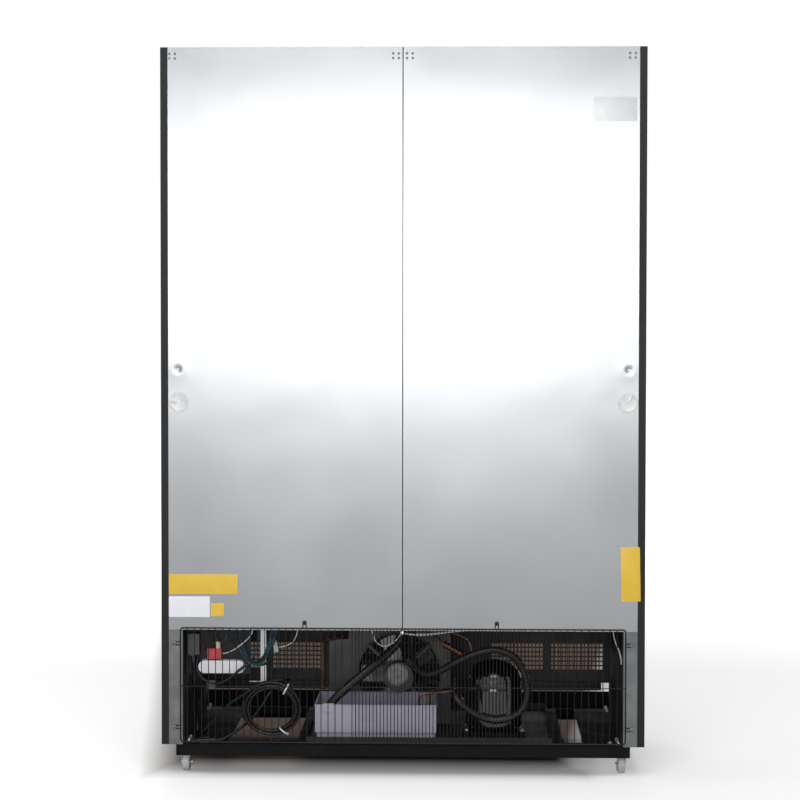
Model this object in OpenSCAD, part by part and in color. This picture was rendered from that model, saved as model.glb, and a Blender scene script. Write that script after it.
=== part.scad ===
// Two-door upright display freezer with its condensing unit in the base.
// Z is up, the doors face -Y, and the floor under the castors is Z = 0.
// Left and right are named from the front: left is -X.

/* [Cabinet] */
// Overall width over the side panels
body_w = 1370; // [1330:10:1600]
// Depth from the front face to the rear skin, without the doors
body_d = 650; // [640:10:760]
// Overall height on the castors
total_h = 2068; // [1960:1:2200]
// Thickness of the steel skins
skin_t = 1.2; // [0.8:0.1:2]
// Thickness of the insulated side walls
side_wall_t = 50; // [45:1:60]
// Thickness of the insulated rear wall
rear_wall_t = 55; // [45:1:70]
// Thickness of the insulated floor
floor_wall_t = 60; // [45:1:80]
// Thickness of the insulated ceiling
ceiling_wall_t = 58; // [45:1:70]
// Thickness of the inner liner
liner_t = 1.5; // [1:0.1:3]
// Width of the flange that each side panel turns round the back
flange_w = 21; // [15:1:28]
// Diameter of the hole that the foam was poured through
foam_hole_d = 50; // [30:1:60]
// Height of the foam holes above the floor
foam_hole_z = 1068; // [800:1:1400]

/* [Base] */
// Height of the base frame above the floor
castor_h = 60; // [58:1:90]
// Height of the base frame
base_h = 33; // [28:1:50]
// Width of the base frame
base_w = 1290; // [1284:2:1300]
// Set-back of the base frame from the rear skin
base_inset = 8; // [4:1:12]
// Width of the base frame's flanges
base_flange_w = 52; // [50:1:60]
// Steel thickness of the base frame
base_t = 2; // [1.5:0.5:4]

/* [Machine compartment] */
// Height of the machine compartment
comp_h = 328; // [310:1:400]
// Width of the plated corner posts
post_w = 39; // [30:1:45]
// Depth of the corner posts' lips
post_lip = 20; // [15:1:30]
// Set-back of the kick plate from the front face
kick_recess = 45; // [35:1:60]
// Width of the unit tray
tray_w = 700; // [690:5:730]
// Height of the unit tray's lip
tray_h = 20; // [12:1:30]
// Depth of the unit tray
tray_d = 540; // [520:5:560]
// Width of the evaporation box
drip_w = 349; // [300:1:365]
// Depth of the evaporation box
drip_d = 215; // [150:5:216]
// Height of the evaporation box
drip_h = 104; // [76:1:112]
// Wall of the evaporation box
drip_wall = 2.5; // [2:0.5:4]

/* [Rear guard] */
// Distance from each side of the cabinet to the guard's rim
guard_margin = 54; // [46:1:66]
// Height of the wire guard
guard_h = 325; // [300:1:335]
// Diameter of the guard's rim wire
rim_d = 4; // [3:0.5:5]
// Diameter of the guard's upright wires
bar_d = 2.4; // [2:0.2:3.2]
// Pitch of the upright wires in front of the fan
bar_pitch = 10; // [8:1:20]

/* [Doors] */
// Thickness of a door
door_t = 50; // [46:1:60]
// Gap between a closed door and the cabinet
door_gap = 6; // [5:0.5:10]
// Face width of the door frames
door_rail = 50; // [40:1:65]
// Reach of the door grips in front of the door
grip_out = 32; // [28:1:45]
// Diameter of the hinge pins
hinge_pin_d = 8; // [6:0.5:10]
// Thickness of one glass pane
pane_t = 4; // [3:0.5:6]
// Height of the lit canopy over the doors
canopy_h = 176; // [150:1:220]
// Width of the post between the doors
mullion_w = 60; // [50:1:90]

/* [Shelves] */
// Shelves in each section, with the floor rack
shelf_n = 5; // [3:1:6]
// Spacing from shelf to shelf
shelf_pitch = 262; // [200:1:270]
// Diameter of the shelf wires
shelf_wire_d = 4; // [3:0.5:5]
// Spacing of the shelf wires
shelf_wire_pitch = 40; // [32:1:55]

/* [Cooling unit] */
// Diameter of the compressor shell
comp_d = 168; // [140:1:180]
// Height of the compressor shell
comp_shell_h = 200; // [170:1:220]
// Diameter of the condenser fan
fan_d = 230; // [200:2:236]
// Width of the condenser
condenser_w = 290; // [270:5:320]
// Height of the condenser
condenser_h = 270; // [262:2:280]
// Length of the evaporator
evap_w = 900; // [700:10:1000]
// Diameter of the evaporator fan
evap_fan_d = 150; // [120:2:170]

/* [Castors] */
// Diameter of the castor wheels
wheel_d = 50; // [44:1:51]
// Width of the castor wheels
wheel_w = 20; // [14:1:24]
// Trail of the wheel's axle behind the swivel
trail = 20; // [14:1:24]

/* [Power cord] */
// Diameter of the power cord
cord_d = 8.5; // [7:0.1:9]
// Turns in each layer of the stored coil
coil_turns = 1.83; // [0.83:1:2.83]

/* [Hidden] */

// Clearances: a shaft in its bore, a piece in its cut-out, a soft piece
pin_gap = 0.08;
run_gap = 0.3;
soft_gap = 0.3;
eps = 0.01;

// The rear skin's plane, so that the whole object is centred on Y = 0
loop_d = 2.9;
loop_lift = 0.1;
washer_t = 1;
screw_head_h = 2.6;
guard_gap = 0.2;
rear_proud = guard_gap + loop_lift + loop_d + washer_t + screw_head_h;
depth_total = body_d + door_gap + door_t + grip_out + rear_proud;
rear_y = depth_total / 2 - rear_proud;
front_y = rear_y - body_d;
half_w = body_w / 2;

// Levels
base_top = castor_h + base_h;
box_bottom = base_top + comp_h;
canopy_z = total_h - canopy_h;

// The cold space inside the liner
cav_x = half_w - side_wall_t;
cav_rear_y = rear_y - rear_wall_t;
cav_z0 = box_bottom + floor_wall_t;
cav_z1 = total_h - ceiling_wall_t;
surround_d = 30;
surround_back_y = front_y + surround_d;

// Foam holes, one in each back panel
foam_hole_x = half_w - 51;
foam_recess = 8;
seam_gap = 1.2;
panel_screw_x = half_w - 48;
panel_screw_z = foam_hole_z + 92;
screw_shank_d = 4.2;

// Shelf space under the evaporator cover
evap_zone_h = 128;
evap_cover_z = cav_z1 - evap_zone_h;
open_z1 = evap_cover_z - 30;
shelf_z0 = cav_z0 + 14;

// Corner posts and lining
post_x = half_w - flange_w;
lining_x = post_x - post_w;
kick_y = front_y + kick_recess;
kick_z0 = base_top + 80;
ceiling_up = comp_h - skin_t;

// A place in the machine compartment: across, in from the rear skin, and
// up from the base frame
function at(x, inward, up) = [x, rear_y - inward, base_top + up];

// The same in the electrical bay, whose pieces keep their distance from the
// lining's +X wall
function bay(aside, inward, up) = at(lining_x - aside, inward, up);

module mirrored(side) {
  mirror([side < 0 ? 1 : 0, 0, 0]) children();
}

module both_sides() {
  for (side = [-1, 1]) mirrored(side) children();
}

// A round rod from p to q
module rod(p, q, d, fn = 24) {
  v = q - p;
  translate(p)
    rotate([0, acos(v[2] / norm(v)), atan2(v[1], v[0])])
      cylinder(h = norm(v), d = d, $fn = fn);
}

// A cylinder along +Y from its centre
module y_cylinder(h, d, fn = 48) {
  rotate([-90, 0, 0]) cylinder(h = h, d = d, $fn = fn);
}

// Smooth curve through hand-placed points, n steps to each span
function span_point(a, b, c, d, t) =
  0.5 * (2 * b + (c - a) * t + (2 * a - 5 * b + 4 * c - d) * t * t
         + (3 * b - a - 3 * c + d) * t * t * t);
function smooth(p, n) = concat(
  [for (i = [0:len(p) - 2], k = [0:n - 1])
    span_point(p[max(i - 1, 0)], p[i], p[i + 1], p[min(i + 2, len(p) - 1)], k / n)],
  [p[len(p) - 1]]);

// Corners of a pipe run turned into bends of radius r, n steps to a bend
function bend(a, b, c, r, n) =
  let (u = (a - b) / norm(a - b), v = (c - b) / norm(c - b))
  [for (k = [0:n]) let (t = k / n)
    b + r * (u * (1 - t) * (1 - t) + v * t * t)];
function bent(p, r, n = 4) = concat(
  [p[0]],
  [for (i = [1:len(p) - 2]) each bend(p[i - 1], p[i], p[i + 1], r, n)],
  [p[len(p) - 1]]);

// Frames carried along a curve, and the tube swept round it
function unit(v) = v / norm(v);
function tangents(p) =
  [for (i = [0:len(p) - 1]) unit(p[min(i + 1, len(p) - 1)] - p[max(i - 1, 0)])];
function carry(n, t) = unit(n - (n * t) * t);
function normals(t) =
  [for (i = 0, n = carry(abs(t[0][2]) < 0.9 ? [0, 0, 1] : [1, 0, 0], t[0]);
        i < len(t);
        i = i + 1, n = i < len(t) ? carry(n, t[i]) : n) n];
function ring_points(p, d, sides) =
  let (t = tangents(p), n = normals(t))
  [for (i = [0:len(p) - 1]) let (b = cross(t[i], n[i]))
    for (k = [0:sides - 1]) let (a = k * 360 / sides)
      p[i] + d / 2 * (cos(a) * n[i] + sin(a) * b)];
function skin_faces(rings, sides) =
  [for (i = [0:rings - 2], k = [0:sides - 1])
    let (a = i * sides + k, b = i * sides + (k + 1) % sides)
    each [[a, b + sides, b], [a, a + sides, b + sides]]];
function end_faces(rings, sides) =
  let (last = (rings - 1) * sides)
  [for (k = [1:sides - 2]) each [[0, k, k + 1], [last, last + k + 1, last + k]]];
module sweep(p, d, sides) {
  polyhedron(
    points = ring_points(p, d, sides),
    faces = concat(skin_faces(len(p), sides), end_faces(len(p), sides)),
    convexity = 6);
}

// A finned block with rows of tubes along X and return bends at its ends
module finned_coil(w, d, h, rows, cols, tube_d, fins, fin_t) {
  row_h = h / rows;
  col_d = d / cols;
  for (i = [0:fins - 1])
    translate([-w / 2 + i * (w - fin_t) / (fins - 1), 0, 0]) cube([fin_t, d, h]);
  for (c = [0:cols - 1], r = [0:rows - 1])
    rod([-w / 2 - 8, (c + 0.5) * col_d, (r + 0.5) * row_h],
        [w / 2 + 8, (c + 0.5) * col_d, (r + 0.5) * row_h], tube_d);
  for (c = [0:cols - 1], r = [0:rows - 2])
    translate([(r % 2 == 0 ? 1 : -1) * (w / 2 + 8), (c + 0.5) * col_d, (r + 1) * row_h])
      rotate([90, r % 2 == 0 ? 90 : -90, 0])
        rotate_extrude(angle = 180, $fn = 32)
          translate([row_h / 2, 0]) circle(d = tube_d, $fn = 24);
}

module side_panel(side) {
  color("#161719")
    mirrored(side)
      translate([0, 0, base_top])
        linear_extrude(total_h - base_top)
          difference() {
            translate([post_x, front_y]) square([flange_w, body_d]);
            translate([post_x - 1, front_y + skin_t])
              square([flange_w - skin_t + 1, body_d - 2 * skin_t]);
          }
}
module side_panel_left() { side_panel(-1); }
module side_panel_right() { side_panel(1); }

module back_panel(side) {
  color("#c6c9cb")
    mirrored(side)
      difference() {
        translate([seam_gap / 2, rear_y - skin_t, box_bottom])
          cube([post_x - seam_gap / 2, skin_t, total_h - box_bottom]);
        translate([foam_hole_x, rear_y - skin_t - 1, foam_hole_z])
          y_cylinder(skin_t + 2, foam_hole_d);
        translate([panel_screw_x, rear_y - skin_t - 1, panel_screw_z])
          y_cylinder(skin_t + 2, screw_shank_d + 2 * run_gap, 24);
      }
}
module back_panel_left() { back_panel(-1); }
module back_panel_right() { back_panel(1); }

module top_panel() {
  color("#161719")
    translate([-half_w + skin_t, front_y + skin_t, total_h - skin_t])
      cube([body_w - 2 * skin_t, body_d - 2 * skin_t, skin_t]);
}

module insulation() {
  color("#e8d9a8")
    difference() {
      translate([-half_w + skin_t, surround_back_y, box_bottom])
        cube([body_w - 2 * skin_t, rear_y - skin_t - surround_back_y,
              total_h - skin_t - box_bottom]);
      translate([-cav_x - liner_t, surround_back_y - 1, cav_z0 - liner_t])
        cube([2 * (cav_x + liner_t), cav_rear_y + liner_t - surround_back_y + 1,
              cav_z1 - cav_z0 + 2 * liner_t]);
      both_sides()
        translate([foam_hole_x, rear_y - skin_t - foam_recess, foam_hole_z])
          y_cylinder(foam_recess + 1, foam_hole_d);
    }
}

module inner_liner() {
  color("#eef0f0")
    difference() {
      translate([-cav_x - liner_t, surround_back_y, cav_z0 - liner_t])
        cube([2 * (cav_x + liner_t), cav_rear_y + liner_t - surround_back_y,
              cav_z1 - cav_z0 + 2 * liner_t]);
      translate([-cav_x, surround_back_y - 1, cav_z0])
        cube([2 * cav_x, cav_rear_y - surround_back_y + 1, cav_z1 - cav_z0]);
    }
}

module door_surround() {
  color("#1b1c1e")
    difference() {
      translate([-half_w + skin_t, front_y + skin_t, box_bottom])
        cube([body_w - 2 * skin_t, surround_d - skin_t, total_h - skin_t - box_bottom]);
      both_sides()
        translate([mullion_w / 2, front_y - 1, cav_z0])
          cube([cav_x - mullion_w / 2, surround_d + 2, open_z1 - cav_z0]);
    }
}

// Corner posts
module rear_corner_posts() {
  color("#b4b7b9")
    both_sides()
      translate([lining_x, rear_y - post_lip, base_top])
        linear_extrude(comp_h)
          difference() {
            square([post_w, post_lip]);
            translate([skin_t, -1]) square([post_w - 2 * skin_t, post_lip - skin_t + 1]);
          }
}

module compartment_lining() {
  lining_d = rear_y - post_lip - kick_y - skin_t;
  color("#1d1e20")
    translate([0, rear_y - post_lip, base_top])
      rotate([90, 0, 0])
        linear_extrude(lining_d)
          difference() {
            translate([-lining_x, 0]) square([2 * lining_x, comp_h]);
            translate([-lining_x + skin_t, -1])
              square([2 * (lining_x - skin_t), comp_h - skin_t + 1]);
          }
}

// Castor places: side, front or rear, and the swivel's Y
castor_x = 626;
castor_plate_w = 38;
castor_plate_l = 64;
castor_plate_t = 3;
castor_bolt_d = 8;
castor_bolt_dx = 13;
castor_bolt_dy = 23;
castor_inset = 72;
base_rear_y = rear_y - base_inset;
base_front_y = front_y + 20;
rear_castor_y = rear_y - castor_inset;
front_castor_y = base_front_y + castor_inset;

module castor_bolt_places() {
  for (x = [-1, 1], y = [-1, 1])
    translate([x * castor_bolt_dx, y * castor_bolt_dy, 0]) children();
}

// Floor plates, openings and tray rails of the base frame
plate_in_x = 500;
right_plate_in_x = 514;
tray_x1 = 276;
tray_x0 = tray_x1 - tray_w;
base_rail_w = 36;
rail_proud = 27;
right_rail_x = -458;
upstand_h = 46;

module base_frame() {
  half_b = base_w / 2;
  base_d = base_rear_y - base_front_y;
  color("#141516")
    difference() {
      union() {
        difference() {
          translate([-half_b, base_front_y, castor_h]) cube([base_w, base_d, base_h]);
          translate([-half_b + base_t, base_front_y + base_t, castor_h + base_t])
            cube([base_w - 2 * base_t, base_d - 2 * base_t, base_h - 2 * base_t]);
          translate([-half_b + base_flange_w, base_front_y + base_flange_w, castor_h - 1])
            cube([base_w - 2 * base_flange_w, base_d - 2 * base_flange_w, base_h + 2]);
        }
        for (span = [[plate_in_x, half_b - base_t], [-half_b + base_t, -right_plate_in_x]])
          translate([span[0], base_front_y + base_t, base_top - base_t])
            cube([span[1] - span[0], base_d - 2 * base_t, base_t]);
        for (x = [tray_x1 + rail_proud - base_rail_w, right_rail_x])
          translate([x, base_front_y + base_t, castor_h + base_t])
            cube([base_rail_w, base_d - 2 * base_t, base_h - base_t]);
        translate([-half_b, base_front_y, base_top - base_t])
          cube([base_w, base_t, upstand_h + base_t]);
      }
      both_sides()
        for (y = [rear_castor_y, front_castor_y])
          translate([castor_x, y, castor_h - 1])
            castor_bolt_places()
              cylinder(h = base_h + 2, d = castor_bolt_d + 2 * run_gap, $fn = 32);
    }
}

// Perforated kick plate, folded back at its lower edge
vent_hole_w = 8.4;
vent_hole_h = 9.4;
vent_pitch_x = 11.5;
vent_pitch_z = 14;
vent_cols = 14;
vent_rows = 6;
vent_groups = [-525, -340, 340, 525];
vent_z = base_top + 159;
control_w = 78;
control_h = 35;
control_z = base_top + 250;
switch_x = 92;
switch_w = 22;
switch_h = 30;
kick_x = half_w - skin_t;
kick_lip_x = lining_x - skin_t;
kick_lip = 14;

module kick_plate() {
  color("#232426")
    difference() {
      union() {
        translate([-kick_x, kick_y, kick_z0])
          cube([2 * kick_x, skin_t, base_top + ceiling_up - kick_z0]);
        translate([-kick_lip_x, kick_y + skin_t - eps, kick_z0])
          cube([2 * kick_lip_x, kick_lip, skin_t]);
      }
      for (gx = vent_groups, i = [0:vent_cols - 1], j = [0:vent_rows - 1])
        translate([gx + (i - (vent_cols - 1) / 2) * vent_pitch_x - vent_hole_w / 2,
                   kick_y - 1,
                   vent_z + (j - (vent_rows - 1) / 2) * vent_pitch_z - vent_hole_h / 2])
          cube([vent_hole_w, skin_t + 2, vent_hole_h]);
      translate([-control_w / 2, kick_y - 1, control_z - control_h / 2])
        cube([control_w, skin_t + 2, control_h]);
      translate([switch_x - switch_w / 2, kick_y - 1, control_z - switch_h / 2])
        cube([switch_w, skin_t + 2, switch_h]);
    }
}

// Controller: bezel, body behind the plate and a display window
module controller() {
  bezel = 4;
  body_back = 55;
  color("#101113") {
    difference() {
      translate([-control_w / 2 - bezel, kick_y - 5, control_z - control_h / 2 - bezel])
        cube([control_w + 2 * bezel, 5, control_h + 2 * bezel]);
      translate([-28, kick_y - 6, control_z - 10]) cube([38, 2, 20]);
    }
    translate([-control_w / 2 + run_gap, kick_y - eps, control_z - control_h / 2 + run_gap])
      cube([control_w - 2 * run_gap, body_back, control_h - 2 * run_gap]);
    for (i = [0:2])
      translate([18 + 9 * i, kick_y - 6.5, control_z]) y_cylinder(2, 6, 24);
    // The rocker switch's housing
    difference() {
      union() {
        translate([switch_x - switch_w / 2 + run_gap, kick_y - eps,
                   control_z - switch_h / 2 + run_gap])
          cube([switch_w - 2 * run_gap, 24, switch_h - 2 * run_gap]);
        translate([switch_x - switch_w / 2 - 2, kick_y - 2, control_z - switch_h / 2 - 2])
          cube([switch_w + 4, 2, switch_h + 4]);
      }
      translate([switch_x - switch_w / 2 + 2.5, kick_y - 3, control_z - switch_h / 2 + 2.5])
        cube([switch_w - 5, 17, switch_h - 5]);
    }
    for (s = [-1, 1])
      translate([switch_x + s * (switch_w / 2 - 2.5) - (s > 0 ? 1.4 : 0), kick_y + 5, control_z])
        rotate([0, 90, 0]) cylinder(h = 1.4, d = 3, $fn = 24);
  }
}

// Rocker of the light switch, on the housing's two stubs, resting tilted
rocker_tilt = 8;
module light_switch() {
  rw = switch_w - 6;
  color("#2a2b2e")
    translate([switch_x, kick_y + 5, control_z])
      difference() {
        rotate([rocker_tilt, 0, 0])
          rotate([0, 90, 0])
            linear_extrude(rw, center = true)
              polygon([[-10, -9], [-2, -6], [2, -6], [10, -9],
                       [10, -4], [4, 4], [-4, 4], [-10, -4]]);
        for (s = [-1, 1])
          translate([s * (rw / 2 - 0.5), 0, 0])
            rotate([0, 90, 0]) cylinder(h = 3, d = 3.2, center = true, $fn = 24);
      }
}

// Canopy: an open-fronted light box with a lens held behind its bezel
canopy_d = door_gap + door_t;
canopy_bezel = 16;
lens_t = 3;
module canopy_housing() {
  color("#17181a")
    difference() {
      translate([-half_w, front_y - canopy_d, canopy_z]) cube([body_w, canopy_d, canopy_h]);
      translate([-half_w + skin_t, front_y - canopy_d + skin_t, canopy_z + skin_t])
        cube([body_w - 2 * skin_t, canopy_d - 2 * skin_t, canopy_h - 2 * skin_t]);
      translate([-half_w + canopy_bezel, front_y - canopy_d - 1, canopy_z + canopy_bezel])
        cube([body_w - 2 * canopy_bezel, skin_t + 2, canopy_h - 2 * canopy_bezel]);
    }
}

module canopy_lens() {
  color("#f4f6f8")
    translate([-half_w + skin_t + run_gap, front_y - canopy_d + skin_t, canopy_z + skin_t])
      cube([body_w - 2 * (skin_t + run_gap), lens_t, canopy_h - 2 * skin_t - run_gap]);
}

// Shelf layout
shelf_gap = 9;
upright_w = 24;
shelf_in_x = mullion_w / 2 + 6;
shelf_out_x = cav_x - shelf_gap;
shelf_front_y = surround_back_y + 40;
shelf_rear_y = cav_rear_y - 26;
clip_t = 3;

// A shelf of six-sided wires on an eight-sided rim and a cross rod
module shelf() {
  w = shelf_out_x - shelf_in_x;
  d = shelf_rear_y - shelf_front_y;
  n = floor((w - 2 * shelf_wire_d) / shelf_wire_pitch);
  pitch = w / (n + 1);
  rim = shelf_wire_d * 1.5;
  for (y = [0, d / 2, d])
    rod([shelf_in_x - rim / 2, shelf_front_y + y, 0],
        [shelf_out_x + rim / 2, shelf_front_y + y, 0], rim, 8);
  for (x = [0, w])
    rod([shelf_in_x + x, shelf_front_y, 0], [shelf_in_x + x, shelf_rear_y, 0], rim, 8);
  for (i = [1:n])
    rod([shelf_in_x + i * pitch, shelf_front_y - rim / 4, rim / 2],
        [shelf_in_x + i * pitch, shelf_rear_y + rim / 4, rim / 2], shelf_wire_d, 6);
}

module wire_shelves() {
  color("#dfe1e2")
    both_sides()
      for (i = [0:shelf_n - 1])
        translate([0, 0, shelf_z0 + i * shelf_pitch]) shelf();
}

// Slotted uprights with a clip under each shelf corner
slot_pitch = 2 * shelf_pitch / 10;
module upright(h, t) {
  slots = floor((h - 40) / slot_pitch);
  difference() {
    cube([t, upright_w, h]);
    for (k = [0:slots])
      translate([-1, upright_w / 2 - 2, 20 + k * slot_pitch]) cube([t + 2, 4, 14]);
  }
}

module shelf_uprights() {
  h = evap_cover_z - cav_z0 - 2;
  t = 2;
  rim = shelf_wire_d * 1.5;
  clip_out = 16;
  color("#b9bcbe") {
    both_sides()
      for (y = [shelf_front_y + 20, shelf_rear_y - 20 - upright_w]) {
        translate([cav_x - t, y, cav_z0]) upright(h, t);
        for (i = [0:shelf_n - 1])
          translate([cav_x - t - clip_out, y + 3,
                     shelf_z0 + i * shelf_pitch - rim / 2 - clip_t])
            cube([clip_out + eps, 5, clip_t]);
      }
    for (y = [shelf_front_y + 20, shelf_rear_y - 20 - upright_w]) {
      translate([-9, y, cav_z0]) cube([18, upright_w, h]);
      for (i = [0:shelf_n - 1])
        translate([-shelf_in_x - 10, y + 3, shelf_z0 + i * shelf_pitch - rim / 2 - clip_t])
          cube([2 * shelf_in_x + 20, 5, clip_t]);
    }
  }
}

// Light strips: behind the mullion, on the side walls and in the canopy
strip_w = 16;
strip_d = 10;
module led_strips() {
  strip_h = open_z1 - cav_z0 - 30;
  color("#f7f8f5") {
    for (x = [-12 - strip_w, 12])
      translate([x, surround_back_y, cav_z0 + 15]) cube([strip_w, strip_d, strip_h]);
    both_sides()
      translate([cav_x - strip_w, surround_back_y + 6, cav_z0 + 15])
        cube([strip_w, strip_d, strip_h]);
    translate([-half_w + 60, front_y - skin_t - strip_d, canopy_z + canopy_h / 2 - strip_w / 2])
      cube([body_w - 120, strip_d, strip_w]);
  }
}

// Evaporator, its cover and its fan
evap_coil_d = 150;
evap_coil_h = 84;
evap_rear_gap = 36;
evap_y1 = cav_rear_y - evap_rear_gap;
hanger_w = 50;
hanger_h = 8;
evap_coil_z = cav_z1 - evap_coil_h - hanger_h;
cover_d = 330;
cover_y0 = cav_rear_y - cover_d;
cover_t = 1.2;
evap_fan_x = 0;
evap_fan_y = cover_y0 + evap_fan_d / 2 + 12;
module evaporator_coil() {
  color("#cfd2d4") {
    translate([0, evap_y1 - evap_coil_d, evap_coil_z])
      finned_coil(evap_w, evap_coil_d, evap_coil_h, 3, 4, 10, 31, 0.8);
    for (s = [-1, 1])
      translate([s * evap_w / 4 - hanger_w / 2, evap_y1 - evap_coil_d, cav_z1 - hanger_h])
        cube([hanger_w, evap_coil_d, hanger_h]);
  }
}

module evaporator_cover() {
  w = 2 * cav_x - 60;
  slot_n = 24;
  color("#e6e8e8")
    difference() {
      translate([-w / 2, cover_y0, evap_cover_z]) cube([w, cover_d, evap_zone_h]);
      translate([-w / 2 + cover_t, cover_y0 + cover_t, evap_cover_z + cover_t])
        cube([w - 2 * cover_t, cover_d, evap_zone_h]);
      translate([evap_fan_x, evap_fan_y, evap_cover_z - 1])
        cylinder(h = cover_t + 2, d = evap_fan_d + 8, $fn = 64);
      for (i = [0:slot_n - 1])
        translate([-w / 2 + 60 + i * (w - 120) / (slot_n - 1) - 12, cover_y0 - 1,
                   evap_cover_z + 30])
          cube([24, cover_t + 2, 8]);
      for (i = [0:slot_n - 1])
        translate([-w / 2 + 60 + i * (w - 120) / (slot_n - 1) - 12, cover_y0 - 1,
                   evap_cover_z + 50])
          cube([24, cover_t + 2, 8]);
    }
  // Fan motor hung from the ceiling
  color("#303234") {
    translate([evap_fan_x, evap_fan_y, evap_cover_z + 34])
      cylinder(h = 40, d = 60, $fn = 48);
    translate([evap_fan_x, evap_fan_y, evap_cover_z + 20])
      cylinder(h = 14 + eps, d = 6, $fn = 32);
    translate([evap_fan_x - 40, evap_fan_y - 12, evap_cover_z + 74])
      cube([80, 24, evap_zone_h - 74]);
  }
}

// A flat-bladed axial fan on the Z axis, with a bore for its shaft
module axial_fan(d, hub_d, hub_h, blade_n, pitch, chord, shaft_d) {
  difference() {
    union() {
      cylinder(h = hub_h, d = hub_d, $fn = 48);
      for (i = [0:blade_n - 1])
        rotate([0, 0, i * 360 / blade_n])
          intersection() {
            difference() {
              translate([0, 0, -hub_h]) cylinder(h = 3 * hub_h, d = d, $fn = 64);
              translate([0, 0, -hub_h - 1]) cylinder(h = 3 * hub_h + 2, d = hub_d - 4, $fn = 48);
            }
            translate([0, 0, hub_h / 2])
              rotate([pitch, 0, 0])
                translate([0, -chord / 2, -0.8]) cube([d, chord, 1.6]);
          }
    }
    translate([0, 0, -1]) cylinder(h = hub_h + 2, d = shaft_d + 2 * pin_gap, $fn = 32);
  }
}

module evaporator_fan() {
  color("#2b2d30")
    translate([evap_fan_x, evap_fan_y, evap_cover_z + 12])
      axial_fan(evap_fan_d, 40, 16, 5, 28, 34, 6);
}

// Unit tray with the evaporation box and the cooling unit on it
tray_y1 = rear_y - 20;
tray_floor = base_top + 1.5;
module unit_tray() {
  t = 1.5;
  color("#c3c6c8")
    difference() {
      translate([tray_x0, tray_y1 - tray_d, base_top]) cube([tray_w, tray_d, tray_h]);
      translate([tray_x0 + t, tray_y1 - tray_d + t, base_top + t])
        cube([tray_w - 2 * t, tray_d - 2 * t, tray_h]);
    }
}

drip_x1 = 252;
drip_y1 = rear_y - 58;
rim_out = 1;
foot_in = 5;
drip_foot_h = 24;
module evaporation_box() {
  t = drip_wall;
  x0 = drip_x1 - drip_w;
  y0 = drip_y1 - drip_d;
  color("#eceef4")
    difference() {
      union() {
        translate([x0, y0, tray_floor + drip_foot_h])
          cube([drip_w, drip_d, drip_h - drip_foot_h]);
        translate([x0 + foot_in, y0 + foot_in, tray_floor])
          cube([drip_w - 2 * foot_in, drip_d - 2 * foot_in, drip_foot_h + eps]);
        translate([x0 - rim_out, y0 - rim_out, tray_floor + drip_h - 4])
          cube([drip_w + 2 * rim_out, drip_d + 2 * rim_out, 4]);
        // Clip that holds the drain hose, on the rear wall
        translate([drip_x1 - 54, drip_y1 - eps, tray_floor + drip_h - 20])
          cube([31, 4.5, 24]);
      }
      translate([x0 + t, y0 + t, tray_floor + drip_foot_h + t])
        cube([drip_w - 2 * t, drip_d - 2 * t, drip_h]);
      translate([x0 + foot_in + t, y0 + foot_in + t, tray_floor + t])
        cube([drip_w - 2 * (foot_in + t), drip_d - 2 * (foot_in + t), drip_h]);
    }
}

// Compressor: two drawn shells welded at the waist, on a base plate
comp_x = -262;
comp_y = rear_y - 175;
foot_h = 15;
comp_z = tray_floor + foot_h;
foot_plate_t = 3;
suction_stub_a = 41;
suction_stub_z = comp_z + 123;
discharge_stub_z = comp_z + 64;
module compressor() {
  r = comp_d / 2;
  color("#0e0f10") {
    translate([comp_x, comp_y, comp_z + foot_plate_t])
      rotate_extrude($fn = 96)
        polygon(concat(
          [[0, 0], [r * 0.62, 0]],
          [for (a = [0:15:90]) [r * 0.80 + 0.18 * r * sin(a), 0.20 * r * (1 - cos(a))]],
          [[r * 0.98, comp_shell_h * 0.48], [r, comp_shell_h * 0.48],
           [r, comp_shell_h * 0.53], [r * 0.96, comp_shell_h * 0.53]],
          [for (a = [0:10:90]) [r * 0.96 * cos(a), comp_shell_h * 0.70
                                + comp_shell_h * 0.30 * sin(a)]]));
    translate([comp_x - r - 6, comp_y - r * 0.7, comp_z])
      cube([2 * r + 12, r * 1.4, foot_plate_t + eps]);
    // Terminal cover towards the rear
    translate([comp_x - 34, comp_y + r - 12, comp_z + 52]) cube([68, 26, 74]);
    // Suction and discharge stubs
    translate([comp_x, comp_y, suction_stub_z])
      rotate([0, 90, suction_stub_a])
        translate([0, 0, r * 0.8]) cylinder(h = r * 0.2 + 20, d = 12, $fn = 32);
    translate([comp_x, comp_y, discharge_stub_z])
      rotate([0, 90, -45])
        translate([0, 0, r * 0.8]) cylinder(h = r * 0.2 + 16, d = 9, $fn = 32);
  }
}

module compressor_mounts() {
  r = comp_d / 2;
  color("#1c1c1c")
    for (x = [-1, 1], y = [-1, 1])
      translate([comp_x + x * (r - 4), comp_y + y * (r * 0.7 - 14), tray_floor])
        difference() {
          cylinder(h = foot_h, d = 22, $fn = 32);
          translate([0, 0, -1]) cylinder(h = foot_h + 2, d = 8, $fn = 24);
        }
}

// Condenser, shroud, motor and fan blow towards the compressor
fan_x = 18;
fan_z = base_top + 152;
condenser_t = 66;
shroud_y = rear_y - 320;
shroud_w = condenser_w + 12;
shroud_h = condenser_h + 12;
condenser_y1 = shroud_y - 44;
module condenser() {
  color("#3a3c3e") {
    translate([fan_x, condenser_y1 - condenser_t, tray_floor + 8])
      finned_coil(condenser_w - 60, condenser_t, condenser_h, 9, 2, 9.5, 41, 0.6);
    for (s = [-1, 1])
      translate([fan_x + s * (condenser_w / 2 - 26) - 0.6, condenser_y1 - condenser_t, tray_floor])
        cube([1.2, condenser_t, condenser_h + 8]);
  }
}

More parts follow.
